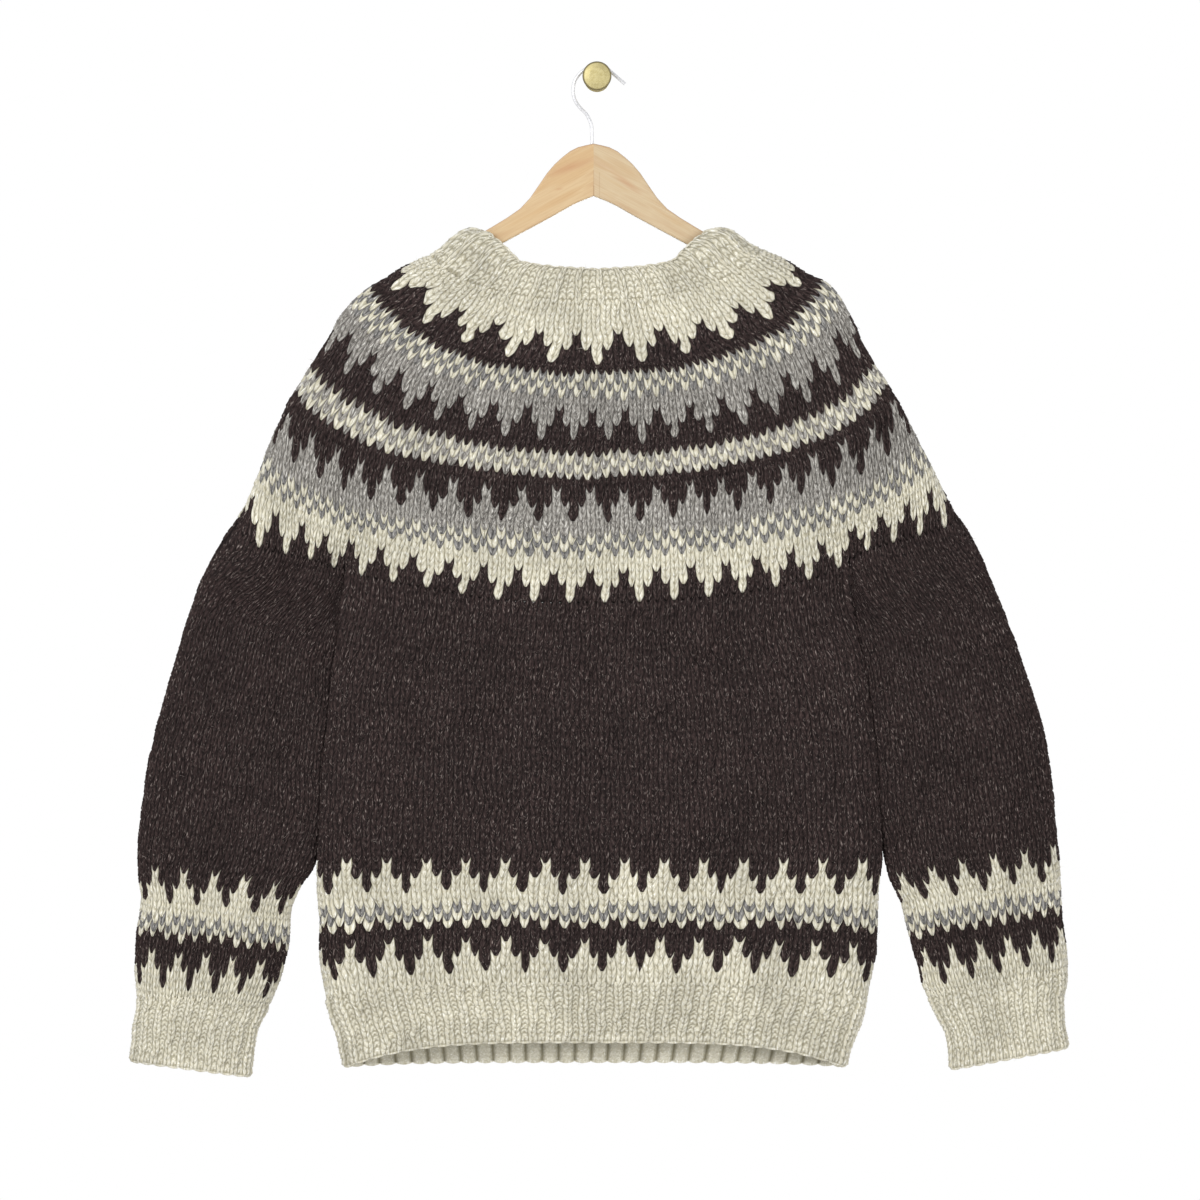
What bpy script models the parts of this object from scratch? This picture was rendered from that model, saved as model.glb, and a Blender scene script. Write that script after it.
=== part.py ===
"""Hand-knit sweater with a circular yoke, on a wooden hanger that hangs from a brass wall hook.

The knitting is a set of tubes worked in the round: neckband, yoke, body, hem rib, two sleeves and
two cuffs. Each tube is a stack of rings, a ring for each named row of knitting. A ring has a front
face and a back face that meet at rounded ends. Left and right are as seen from the front.
Sizes and tables are in millimetres. The front faces -Y, +Z is up, and the origin is at the back of
the wall hook, on the wall.
"""
import math

import bmesh
import bpy
import numpy as np
from mathutils import Vector

MM = 0.001
SEAM_DROP = 0.5
UNDERARM_DROP = 2.2

# Knitting.
KNIT_THICKNESS = 4.0
NECKBAND_THICKNESS = 5.0
HANGER_Y = -42.0
LEAN_PER_MM = 0.013
LEAN_TOP_Z = -200.0
CAP = 20.0
FOLD_X = 227.0
FOLD_CAP = 25.0
FOLD_HALF_DEPTH = 8.5
FOLD_ROWS = 9.0
TIP_HALF_FLAT = 1.5
SLEEVE_SET_BACK = 3.0
SLEEVE_FIT_ROWS = 15.0
BODY_FIT_ROWS = 8.0
BODY_TOP_POWER = 2.3
BODY_HEM_POWER = 4.0
YOKE_BROAD_SHARE = 0.72
YOKE_BROAD_POWER = 2.3
YOKE_STEEP_POWER = 12.0
CAP_STEPS = (0.0, 0.134, 0.5, 1.0)
LARGEST_CAP_SHARE = 0.75
SLEEVE_FLATS = 3
BODY_FLATS = 10
FINE_STEPS = 201

YOKE_ROWS = (0, 3, 7, 11, 15.5, 20, 25, 30, 34, 37, 39.5, 42)
YOKE = (
    ("row", "mid_z", "left_x", "left_z", "right_x", "right_z", "depth"),
    (0, -201.0, -151.0, -161.0, 150.0, -156.5, 16.0),
    (5, -230.0, -169.0, -168.5, 171.0, -166.0, 16.5),
    (9, -256.2, -189.0, -180.8, 188.0, -177.0, 17.0),
    (11, -269.0, -205.0, -190.0, 206.0, -185.0, 17.0),
    (15.5, -298.5, -228.0, -213.2, 225.7, -213.0, 17.5),
    (20, -327.5, -245.0, -242.0, 241.5, -244.0, 18.0),
    (22, -340.0, -257.5, -261.0, 250.0, -260.0, 18.0),
    (25, -359.8, -271.5, -283.0, 261.5, -277.5, 18.0),
    (27, -373.0, -279.5, -300.0, 269.0, -290.0, 18.0),
    (31.5, -402.5, -293.3, -330.0, 284.8, -320.9, 18.0),
    (36, -431.5, -305.0, -361.0, 300.5, -352.0, 18.0),
    (42, -471.6, -323.0, -397.0, 321.0, -391.0, 18.0),
)

NECKBAND_ROWS = (0, 3, 5, 7, 8)
NECKBAND = (
    ("row", "mid_z", "left_x", "left_z", "right_x", "right_z", "depth", "edge_share"),
    (0, -200.7, -151.0, -160.7, 150.0, -156.2, 16.0, 0.0),
    (3, -189.0, -140.0, -149.0, 140.0, -146.5, 16.0, 0.4),
    (5, -181.0, -129.0, -138.5, 129.0, -137.5, 16.0, 0.7),
    (7, -173.0, -115.0, -134.4, 114.0, -133.6, 16.0, 0.9),
    (8, -169.0, -106.0, -136.0, 104.0, -135.0, 15.5, 1.0),
)
NECK_EDGE = (
    ("across", "rise"),
    (0.0, 0.0),
    (0.33, 0.07),
    (0.655, 0.23),
    (0.77, 0.53),
    (0.95, 0.97),
    (1.0, 1.0),
)

BODY_END_ROW = 53
BODY_ROWS = (0, 3.5, 9, 16, 22, 28, 35, 42, 47, 51, 53)
BODY = (
    ("row", "front_z", "back_z", "side_z", "left_x", "right_x", "depth"),
    (0, -472.1, -472.1, -447.0, -226.8, 226.8, 18.0),
    (3.5, -494.6, -496.0, -472.1, -229.0, 228.4, 18.5),
    (9, -530.2, -533.7, -511.5, -234.0, 235.4, 19.5),
    (16, -575.5, -581.7, -561.7, -240.6, 244.2, 21.0),
    (28, -653.1, -664.0, -647.8, -247.4, 252.8, 22.0),
    (35, -698.4, -712.0, -698.0, -250.0, 255.6, 22.0),
    (39, -724.3, -739.4, -726.7, -251.0, 252.0, 22.0),
    (43, -750.2, -766.8, -755.3, -248.6, 251.0, 21.5),
    (48, -782.5, -801.1, -791.2, -248.2, 248.6, 21.0),
    (51, -802.0, -821.7, -812.7, -245.0, 244.6, 20.6),
    (53, -814.9, -835.0, -827.0, -241.8, 241.4, 20.0),
)

HEM_RIB_ROWS = (0, 2, 6, 12)
HEM_RIB = (
    ("row", "front_z", "back_z", "side_z", "left_x", "right_x", "depth"),
    (0, -815.3, -835.4, -827.4, -241.8, 241.4, 20.0),
    (2, -824.0, -844.4, -837.6, -239.5, 239.2, 19.5),
    (4, -832.7, -853.3, -847.8, -236.6, 235.6, 18.6),
    (8, -850.1, -871.1, -868.2, -230.5, 228.6, 17.5),
    (12, -867.5, -889.0, -888.5, -226.8, 223.2, 17.0),
)

SLEEVE_ROWS = (0, 4, 9, 15, 22, 29, 36, 40.5, 43, 47, 51, 55.5, 58, 60)
SLEEVE_LEFT = (
    ("row", "outer_x", "outer_z", "inner_x", "inner_z", "depth"),
    (0, -323.0, -397.5, -227.2, -449.1, 18.0),
    (4, -339.9, -423.0, -230.0, -472.5, 17.0),
    (9, -356.9, -457.3, -234.8, -505.2, 16.5),
    (15, -371.0, -501.2, -239.8, -544.5, 16.0),
    (22, -386.8, -552.7, -243.9, -590.5, 16.0),
    (29, -400.2, -604.9, -247.6, -636.8, 16.0),
    (36, -408.8, -658.1, -250.6, -683.0, 16.0),
    (40.5, -412.0, -692.0, -256.0, -711.0, 16.0),
    (43, -412.4, -711.0, -266.0, -727.0, 16.0),
    (47, -408.3, -738.0, -275.8, -751.7, 16.0),
    (51, -411.8, -765.0, -277.6, -778.5, 15.5),
    (55.5, -414.2, -795.0, -284.6, -808.0, 15.0),
    (58, -413.4, -815.0, -292.0, -826.3, 14.7),
    (60, -412.6, -826.6, -296.5, -835.6, 14.5),
)
SLEEVE_RIGHT = (
    ("row", "outer_x", "outer_z", "inner_x", "inner_z", "depth"),
    (0, 321.0, -391.5, 227.2, -444.5, 18.0),
    (4, 337.6, -416.5, 229.8, -469.5, 17.0),
    (9, 352.5, -450.4, 235.4, -500.7, 16.5),
    (15, 369.5, -491.4, 242.3, -539.0, 16.0),
    (22, 386.6, -540.4, 248.1, -583.5, 16.0),
    (29, 400.9, -590.2, 252.4, -628.0, 16.0),
    (36, 409.6, -641.4, 256.0, -673.0, 16.0),
    (40.5, 412.8, -674.5, 258.4, -701.0, 16.0),
    (43, 414.0, -693.0, 262.0, -717.0, 16.0),
    (47, 415.3, -719.4, 273.2, -740.8, 16.0),
    (51, 416.2, -745.7, 279.3, -767.4, 15.5),
    (55.5, 421.0, -775.4, 287.6, -797.0, 15.0),
    (58, 422.2, -793.0, 293.2, -815.5, 14.7),
    (60, 421.6, -805.0, 298.0, -826.0, 14.5),
)

CUFF_ROWS = (0, 2, 4, 8, 13)
CUFF_LEFT = (
    ("row", "outer_x", "outer_z", "inner_x", "inner_z", "depth"),
    (0, -412.6, -827.0, -296.5, -836.0, 14.5),
    (2, -412.6, -835.0, -300.8, -845.0, 14.2),
    (4, -414.0, -843.5, -305.3, -853.7, 13.7),
    (8, -416.2, -860.0, -308.4, -871.5, 13.0),
    (13, -419.0, -882.0, -311.0, -896.0, 13.0),
)
CUFF_RIGHT = (
    ("row", "outer_x", "outer_z", "inner_x", "inner_z", "depth"),
    (0, 421.6, -805.4, 298.0, -826.4, 14.5),
    (2, 421.0, -815.3, 302.2, -835.4, 14.2),
    (4, 418.4, -826.0, 307.0, -844.5, 13.7),
    (8, 418.8, -846.0, 314.6, -862.5, 13.0),
    (13, 423.0, -870.0, 317.4, -889.5, 13.0),
)

# Hanger board, its wire hook and the wall hook.
BOARD_X = -3.0
BOARD_THICKNESS = 12.0
BOARD_EDGE_RADIUS = 2.5
BOARD_STATIONS = (0, 7, 14, 21, 28, 35, 42, 49, 57, 66, 78, 90, 110, 150, 194)
BOARD_TIP_STEPS = 5
BOARD = (
    ("across", "top_z", "bottom_z"),
    (0, -60.3, -107.2),
    (15.5, -64.0, -113.5),
    (27.5, -72.0, -120.0),
    (38, -82.0, -126.0),
    (45.5, -92.0, -130.0),
    (54, -105.0, -134.7),
    (64, -117.0, -140.0),
    (78, -127.0, -147.5),
    (99, -139.5, -159.0),
    (150, -170.0, -187.5),
    (194, -196.5, -212.0),
)
WIRE_DIAMETER = 3.0
WIRE_HOLE_DIAMETER = 3.8
WIRE_HOLE_DEPTH = 14.0
WIRE_SAMPLES = 48
WIRE_ROUTE = (
    ("x", "z"),
    (-4.5, -74.0),
    (-4.5, -58.0),
    (-4.7, -46.0),
    (-9.0, -34.4),
    (-15.8, -27.2),
    (-20.2, -20.0),
    (-21.6, -12.5),
    (-20.2, -4.6),
    (-15.6, 2.4),
    (-8.6, 7.6),
    (0.0, 9.8),
    (8.4, 7.4),
    (15.6, 1.6),
    (25.2, -6.7),
)
HOOK_SEGMENTS = 48
HOOK_PROFILE = (
    ("radius", "off_wall"),
    (0.0, 57.0),
    (7.0, 56.8),
    (11.4, 56.0),
    (12.6, 55.2),
    (13.0, 54.0),
    (13.0, 51.6),
    (12.4, 50.8),
    (9.4, 49.6),
    (8.0, 46.0),
    (8.0, 7.0),
    (9.0, 4.4),
    (11.0, 3.4),
    (11.5, 2.8),
    (11.5, 0.0),
    (0.0, 0.0),
)


def lookup(table, name, at):
    """Value of a named column at a place in the first column, on a smooth curve without overshoot."""
    rows = table[1:]
    keys = [row[0] for row in rows]
    values = [row[table[0].index(name)] for row in rows]
    slopes = [(v1 - v0) / (k1 - k0) for k0, k1, v0, v1 in zip(keys, keys[1:], values, values[1:])]
    tangents = [slopes[0]]
    for before, after in zip(slopes, slopes[1:]):
        tangents.append(2 * before * after / (before + after) if before * after > 0 else 0.0)
    tangents.append(slopes[-1])
    i = min(max(sum(key <= at for key in keys) - 1, 0), len(keys) - 2)
    width = keys[i + 1] - keys[i]
    t = min(max((at - keys[i]) / width, 0.0), 1.0)
    start = (1 + 2 * t) * (1 - t) ** 2 * values[i] + t * (1 - t) ** 2 * width * tangents[i]
    end = t * t * (3 - 2 * t) * values[i + 1] - t * t * (1 - t) * width * tangents[i + 1]
    return start + end


def fading(row, rows):
    """1 at row 0, falling smoothly to 0 after the given number of rows."""
    t = min(max(row / rows, 0.0), 1.0)
    return 1 - t * t * (3 - 2 * t)


def across_steps():
    """Places from -1 to 1 across a face, closer together near both ends."""
    return np.sin(np.linspace(-math.pi / 2, math.pi / 2, FINE_STEPS))


def travelled(x, z):
    return np.concatenate(([0.0], np.cumsum(np.hypot(np.diff(x), np.diff(z)))))


def rounded(distance, cap, flat, valley, depth):
    """Half depth near an end: an ellipse over the cap, or a valley's soft slope, down to the flat."""
    q = np.clip(distance / cap, 0, 1)
    ellipse = np.sqrt(1 - (1 - q) ** 2)
    slope = (1 - np.cos(math.pi * q)) / 2
    return flat + (depth - flat) * (ellipse * (1 - valley) + slope * valley)


def mid_y(z):
    """The garment's middle plane: under the hanger, then leaning towards the wall."""
    return HANGER_Y + LEAN_PER_MM * np.maximum(LEAN_TOP_Z - z, 0)


def shoulder_line(table, row, share):
    """A ring over both shoulders seen from the front; share is its rise from the middle to an end."""
    left_z = lookup(table, "left_z", row)
    right_z = lookup(table, "right_z", row)
    p = across_steps()
    x = np.abs(p) * np.where(p < 0, lookup(table, "left_x", row), lookup(table, "right_x", row))
    ends = left_z + (right_z - left_z) * (p + 1) / 2
    sag = lookup(table, "mid_z", row) - (left_z + right_z) / 2
    return x, ends + sag * (1 - share)


def yoke_share():
    p = np.abs(across_steps())
    steep = (1 - YOKE_BROAD_SHARE) * p ** YOKE_STEEP_POWER
    return YOKE_BROAD_SHARE * p ** YOKE_BROAD_POWER + steep


def neckband_share(row):
    """From the yoke's curve at the seam to the flat front and raised ends of the neck edge."""
    edge = np.array([lookup(NECK_EDGE, "rise", p) for p in np.abs(across_steps())])
    part = lookup(NECKBAND, "edge_share", row)
    return yoke_share() * (1 - part) + edge * part


YOKE_END_ROW = YOKE_ROWS[-1]
YOKE_EDGE_X, YOKE_EDGE_Z = shoulder_line(YOKE, YOKE_END_ROW, yoke_share())


def spaced(start, end, start_cap, end_cap, flats):
    """Distances from start to end: a few over each cap, and even steps between them."""
    squeeze = min(1.0, LARGEST_CAP_SHARE * (end - start) / (start_cap + end_cap))
    first = [start + start_cap * squeeze * step for step in CAP_STEPS]
    last = [end - end_cap * squeeze * step for step in reversed(CAP_STEPS)]
    between = list(np.linspace(first[-1], last[0], flats + 1)[1:-1])
    return first + between + last


def points_on(x, z, run, half, stations, side, set_back=0.0):
    """Points of one face at the given distances along it; side is -1 in front and 1 at the back."""
    px = np.interp(stations, run, x)
    pz = np.interp(stations, run, z)
    py = mid_y(pz) + set_back + side * np.interp(stations, run, half)
    return list(zip(px, py, pz))


def shoulder_face(x, z, depth, valley_share, side):
    """A face of the neckband or yoke, with the two valleys that run down to the underarms."""
    run = travelled(x, z)
    half = rounded(np.minimum(run, run[-1] - run), CAP, 0.0, 0.0, depth)
    left_fold = x[0] * FOLD_X / -YOKE_EDGE_X[0]
    right_fold = x[-1] * FOLD_X / YOKE_EDGE_X[-1]
    folds = np.interp((left_fold, right_fold), x, run)
    for fold in folds:
        near = np.clip(np.abs(run - fold) / FOLD_CAP, 0, 1)
        valley = (half - FOLD_HALF_DEPTH) * (1 + np.cos(math.pi * near)) / 2
        half = half - valley * valley_share
    stations = spaced(0, folds[0], CAP, FOLD_CAP, SLEEVE_FLATS)
    stations += spaced(folds[0], folds[1], FOLD_CAP, FOLD_CAP, BODY_FLATS)[1:]
    stations += spaced(folds[1], run[-1], FOLD_CAP, CAP, SLEEVE_FLATS)[1:]
    return points_on(x, z, run, half, stations, side)


def yoke_ring(row):
    x, z = shoulder_line(YOKE, row, yoke_share())
    valley_share = fading(YOKE_END_ROW - row, FOLD_ROWS)
    front = shoulder_face(x, z, lookup(YOKE, "depth", row), valley_share, -1)
    back = shoulder_face(x, z, lookup(YOKE, "depth", row), valley_share, 1)
    return front + back[-2:0:-1]


def neckband_ring(row):
    x, z = shoulder_line(NECKBAND, row, neckband_share(row))
    front = shoulder_face(x, z, lookup(NECKBAND, "depth", row), 0.0, -1)
    back = shoulder_face(x, z, lookup(NECKBAND, "depth", row), 0.0, 1)
    return front + back[-2:0:-1]


def middle(a, b):
    return tuple((va + vb) / 2 for va, vb in zip(a, b))


def torso_face(table, row, side, fit):
    """A face of the body or hem rib; fit bends the first rows to the yoke's edge."""
    p = across_steps()
    left_x = lookup(table, "left_x", row)
    right_x = lookup(table, "right_x", row)
    x = np.abs(p) * np.where(p < 0, left_x, right_x)
    power = BODY_TOP_POWER * fit + BODY_HEM_POWER * (1 - fit)
    mid_z = lookup(table, "front_z" if side < 0 else "back_z", row)
    z = mid_z + (lookup(table, "side_z", row) - mid_z) * np.abs(p) ** power
    top_mid_z = lookup(BODY, "front_z", 0)
    top_z = top_mid_z + (lookup(BODY, "side_z", 0) - top_mid_z) * np.abs(p) ** BODY_TOP_POWER
    edge = np.interp(x, YOKE_EDGE_X, YOKE_EDGE_Z) - SEAM_DROP
    edge[0] -= UNDERARM_DROP
    edge[-1] -= UNDERARM_DROP
    z = z + (edge - top_z) * fit
    run = travelled(x, z)
    depth = lookup(table, "depth", row)
    tip = TIP_HALF_FLAT + (FOLD_HALF_DEPTH - TIP_HALF_FLAT) * fit
    half = rounded(np.minimum(run, run[-1] - run), FOLD_CAP, tip, fit, depth)
    stations = spaced(0, run[-1], FOLD_CAP, FOLD_CAP, BODY_FLATS)
    return points_on(x, z, run, half, stations, side)


def torso_ring(table, row, fit):
    front = torso_face(table, row, -1, fit)
    back = torso_face(table, row, 1, fit)
    right_tip = [middle(front[-1], back[-1])]
    left_tip = [middle(front[0], back[0])]
    return front + right_tip + back[::-1] + left_tip


def body_ring(row):
    return torso_ring(BODY, row, fading(row, BODY_FIT_ROWS))


def hem_rib_ring(row):
    return torso_ring(HEM_RIB, row, 0.0)


def sleeve_face(table, row, side, start_row):
    """A face from the outer edge to the inner one; it hangs just behind the body's edge."""
    at_yoke = fading(start_row + row, SLEEVE_FIT_ROWS)
    at_fold = fading(start_row + row, FOLD_ROWS)
    s = (across_steps() + 1) / 2
    outer = Vector((lookup(table, "outer_x", row), lookup(table, "outer_z", row)))
    inner = Vector((lookup(table, "inner_x", row), lookup(table, "inner_z", row)))
    x = outer.x + (inner.x - outer.x) * s
    z = outer.y + (inner.y - outer.y) * s
    top_outer_x = YOKE_EDGE_X[0] if outer.x < 0 else YOKE_EDGE_X[-1]
    top_x = top_outer_x + (math.copysign(FOLD_X, outer.x) - top_outer_x) * s
    edge = np.interp(top_x, YOKE_EDGE_X, YOKE_EDGE_Z)
    bow = edge - (edge[0] + (edge[-1] - edge[0]) * s)
    z = z + bow * at_yoke
    run = travelled(x, z)
    depth = lookup(table, "depth", row)
    tip = TIP_HALF_FLAT + (FOLD_HALF_DEPTH - TIP_HALF_FLAT) * at_fold
    outer_half = rounded(run, CAP, 0.0, 0.0, depth)
    inner_half = rounded(run[-1] - run, FOLD_CAP, tip, at_fold, depth)
    stations = spaced(0, run[-1], CAP, FOLD_CAP, SLEEVE_FLATS)
    set_back = SLEEVE_SET_BACK * (1 - at_fold)
    return points_on(x, z, run, np.minimum(outer_half, inner_half), stations, side, set_back)


def sleeve_ring(table, row, start_row):
    """The ring starts at its end on the left, as every ring does."""
    front = sleeve_face(table, row, -1, start_row)
    back = sleeve_face(table, row, 1, start_row)
    inner_tip = [middle(front[-1], back[-1])]
    if front[0][0] < front[-1][0]:
        return front + inner_tip + back[:0:-1]
    return inner_tip + front[::-1] + back[1:]


def loft(name, rings, thickness, material):
    """Tube through rings from the top down, given its wall inwards."""
    mesh = bpy.data.meshes.new(name)
    bm = bmesh.new()
    loops = [[bm.verts.new(Vector(point) * MM) for point in ring] for ring in rings]
    for upper, lower in zip(loops, loops[1:]):
        for i in range(len(upper)):
            j = (i + 1) % len(upper)
            bm.faces.new((lower[i], lower[j], upper[j], upper[i]))
    bm.to_mesh(mesh)
    bm.free()
    mesh.shade_smooth()
    obj = add_object(name, mesh, material)
    wall = obj.modifiers.new("Wall", "SOLIDIFY")
    wall.thickness = thickness * MM
    wall.offset = -1
    wall.use_even_offset = True
    return obj


def add_object(name, data, material):
    obj = bpy.data.objects.new(name, data)
    data.materials.append(material)
    parts.objects.link(obj)
    return obj


def new_material(name, color, roughness, metallic=0.0):
    material = bpy.data.materials.new(name)
    material.use_nodes = True
    shader = material.node_tree.nodes["Principled BSDF"]
    shader.inputs["Base Color"].default_value = (*color, 1.0)
    shader.inputs["Roughness"].default_value = roughness
    shader.inputs["Metallic"].default_value = metallic
    material.diffuse_color = (*color, 1.0)
    return material


def board_outline():
    """The board's outline: top edge from left to right, a round tip, and back along the bottom."""
    tops = [(d, lookup(BOARD, "top_z", d)) for d in BOARD_STATIONS]
    bottoms = [(d, lookup(BOARD, "bottom_z", d)) for d in BOARD_STATIONS]
    tip_top = Vector(tops[-1])
    tip_bottom = Vector(bottoms[-1])
    centre = (tip_top + tip_bottom) / 2
    spoke = tip_top - centre
    tip = []
    for i in range(1, BOARD_TIP_STEPS):
        angle = math.pi * i / BOARD_TIP_STEPS
        along = Vector((-spoke.y, spoke.x)) * -math.sin(angle)
        tip.append(tuple(centre + spoke * math.cos(angle) + along))
    right = tops + tip + bottoms[::-1]
    left = [(-d, z) for d, z in right[-2:0:-1]]
    return right + left


def make_board(material):
    curve = bpy.data.curves.new("board_outline", "CURVE")
    curve.dimensions = "2D"
    curve.fill_mode = "BOTH"
    curve.extrude = BOARD_THICKNESS / 2 * MM
    outline = board_outline()
    spline = curve.splines.new("POLY")
    spline.points.add(len(outline) - 1)
    for point, (across, z) in zip(spline.points, outline):
        point.co = (across * MM, z * MM, 0.0, 1.0)
    spline.use_cyclic_u = True
    flat = bpy.data.objects.new("board_outline", curve)
    parts.objects.link(flat)
    flat.rotation_euler = (math.pi / 2, 0.0, 0.0)
    flat.location = (BOARD_X * MM, HANGER_Y * MM, 0.0)
    board = solid_from_curve(flat, "hanger_wood", material)
    edges = board.modifiers.new("Rounded edges", "BEVEL")
    edges.width = BOARD_EDGE_RADIUS * MM
    edges.segments = 2
    edges.limit_method = "ANGLE"
    edges.angle_limit = math.radians(60)
    hole = board.modifiers.new("Hook hole", "BOOLEAN")
    hole.object = make_hole_cutter()
    return board


def solid_from_curve(curve_object, name, material):
    """A mesh object from a filled curve, with its loose caps welded on."""
    bpy.context.view_layer.update()
    evaluated = curve_object.evaluated_get(bpy.context.evaluated_depsgraph_get())
    mesh = bpy.data.meshes.new_from_object(evaluated)
    mesh.materials.clear()
    bm = bmesh.new()
    bm.from_mesh(mesh)
    bmesh.ops.remove_doubles(bm, verts=bm.verts, dist=0.00001)
    bm.to_mesh(mesh)
    bm.free()
    obj = add_object(name, mesh, material)
    obj.matrix_world = curve_object.matrix_world
    bpy.data.objects.remove(curve_object)
    return obj


def make_hole_cutter():
    top = lookup(BOARD, "top_z", 0) * MM
    depth = 2 * WIRE_HOLE_DEPTH * MM
    bpy.ops.mesh.primitive_cylinder_add(vertices=16, radius=WIRE_HOLE_DIAMETER / 2 * MM, depth=depth)
    cutter = bpy.context.object
    cutter.name = "hook_hole_cutter"
    cutter.location = (WIRE_ROUTE[1][0] * MM, HANGER_Y * MM, top)
    cutter.hide_render = True
    cutter.display_type = "WIRE"
    for collection in list(cutter.users_collection):
        collection.objects.unlink(cutter)
    cutters.objects.link(cutter)
    return cutter


def make_wire(material):
    """Bent wire let into the board, up round the wall hook's neck and down to a free tip."""
    route = [Vector((x, z)) for x, z in WIRE_ROUTE[1:]]
    reach = [0.0]
    for a, b in zip(route, route[1:]):
        reach.append(reach[-1] + (b - a).length)
    x_table = (("reach", "x"), *zip(reach, (p.x for p in route)))
    z_table = (("reach", "z"), *zip(reach, (p.y for p in route)))
    curve = bpy.data.curves.new("hanger_hook", "CURVE")
    curve.dimensions = "3D"
    curve.bevel_depth = WIRE_DIAMETER / 2 * MM
    curve.bevel_resolution = 2
    curve.use_fill_caps = True
    spline = curve.splines.new("POLY")
    spline.points.add(WIRE_SAMPLES - 1)
    for point, at in zip(spline.points, np.linspace(0, reach[-1], WIRE_SAMPLES)):
        x = lookup(x_table, "x", at)
        z = lookup(z_table, "z", at)
        point.co = (x * MM, HANGER_Y * MM, z * MM, 1.0)
    return add_object("hanger_hook", curve, material)


def make_wall_hook(material):
    """Turned knob: a domed face, a neck that the wire hangs on, and a foot flat on the wall."""
    mesh = bpy.data.meshes.new("wall_hook")
    bm = bmesh.new()
    verts = [bm.verts.new((radius * MM, 0.0, off * MM)) for radius, off in HOOK_PROFILE[1:]]
    for a, b in zip(verts, verts[1:]):
        bm.edges.new((a, b))
    bm.to_mesh(mesh)
    bm.free()
    obj = add_object("wall_hook", mesh, material)
    turn = obj.modifiers.new("Turned", "SCREW")
    turn.steps = HOOK_SEGMENTS
    turn.render_steps = HOOK_SEGMENTS
    turn.use_merge_vertices = True
    turn.merge_threshold = 0.00001
    turn.use_smooth_shade = True
    obj.rotation_euler = (math.pi / 2, 0.0, 0.0)
    return obj


for old in list(bpy.data.objects):
    bpy.data.objects.remove(old, do_unlink=True)

parts = bpy.data.collections.new("Circular yoke sweater on a hanger")
cutters = bpy.data.collections.new("Cutters")
bpy.context.scene.collection.children.link(parts)
bpy.context.scene.collection.children.link(cutters)

cream_wool = new_material("Cream wool", (0.70, 0.66, 0.53), 0.95)
patterned_wool = new_material("Brown, gray and cream wool", (0.20, 0.17, 0.15), 0.95)
brown_wool = new_material("Brown heather wool", (0.045, 0.032, 0.028), 0.95)
beech = new_material("Lacquered beech", (0.72, 0.48, 0.26), 0.45)
steel = new_material("Plated steel wire", (0.70, 0.70, 0.70), 0.25, 1.0)
brass = new_material("Brushed brass", (0.66, 0.50, 0.22), 0.35, 1.0)

neckband_rings = [neckband_ring(row) for row in reversed(NECKBAND_ROWS)]
loft("neckband", neckband_rings, NECKBAND_THICKNESS, cream_wool)
loft("yoke", [yoke_ring(row) for row in YOKE_ROWS], KNIT_THICKNESS, patterned_wool)
loft("body", [body_ring(row) for row in BODY_ROWS], KNIT_THICKNESS, brown_wool)
loft("hem_rib", [hem_rib_ring(row) for row in HEM_RIB_ROWS], KNIT_THICKNESS, cream_wool)
for hand, sleeve, cuff in (("left", SLEEVE_LEFT, CUFF_LEFT), ("right", SLEEVE_RIGHT, CUFF_RIGHT)):
    sleeve_rings = [sleeve_ring(sleeve, row, 0) for row in SLEEVE_ROWS]
    cuff_rings = [sleeve_ring(cuff, row, SLEEVE_ROWS[-1]) for row in CUFF_ROWS]
    loft("sleeve_" + hand, sleeve_rings, KNIT_THICKNESS, brown_wool)
    loft("cuff_" + hand, cuff_rings, KNIT_THICKNESS, cream_wool)
make_board(beech)
make_wire(steel)
make_wall_hook(brass)
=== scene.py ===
"""Looks of a hand-knit sweater with a circular yoke, on a wooden hanger and a brass wall hook.

Every stitch that shows is modelled: each knitted tube is a grid that runs down the outside of the
cloth, round its lower edge and back up the inside, and the yarns are relief on that grid. A stitch
is six columns of faces wide and three rows of faces high, and the two legs of its V lean up and out
from its point. Places on a tube are counted in stitches round it and rows down it, as a knitter
counts them. Tables and sizes are in millimetres, and meshes are in metres. The front faces -Y.
"""
import math

import bmesh
import bpy
import numpy as np
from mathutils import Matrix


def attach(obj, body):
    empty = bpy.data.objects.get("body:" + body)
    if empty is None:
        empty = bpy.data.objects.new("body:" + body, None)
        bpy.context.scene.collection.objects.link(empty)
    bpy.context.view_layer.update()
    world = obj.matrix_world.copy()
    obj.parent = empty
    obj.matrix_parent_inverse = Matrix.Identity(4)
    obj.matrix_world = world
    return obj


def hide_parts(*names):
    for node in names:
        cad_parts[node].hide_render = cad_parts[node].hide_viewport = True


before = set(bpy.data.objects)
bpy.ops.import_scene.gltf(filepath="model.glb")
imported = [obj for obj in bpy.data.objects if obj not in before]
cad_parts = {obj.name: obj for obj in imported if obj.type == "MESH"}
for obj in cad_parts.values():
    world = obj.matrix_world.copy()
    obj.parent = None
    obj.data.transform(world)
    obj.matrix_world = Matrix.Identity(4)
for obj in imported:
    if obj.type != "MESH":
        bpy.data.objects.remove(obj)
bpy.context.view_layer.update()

MM = 0.001

# ---- The garment's form: a ring for each row of knitting, with a front face and a back face.

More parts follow.
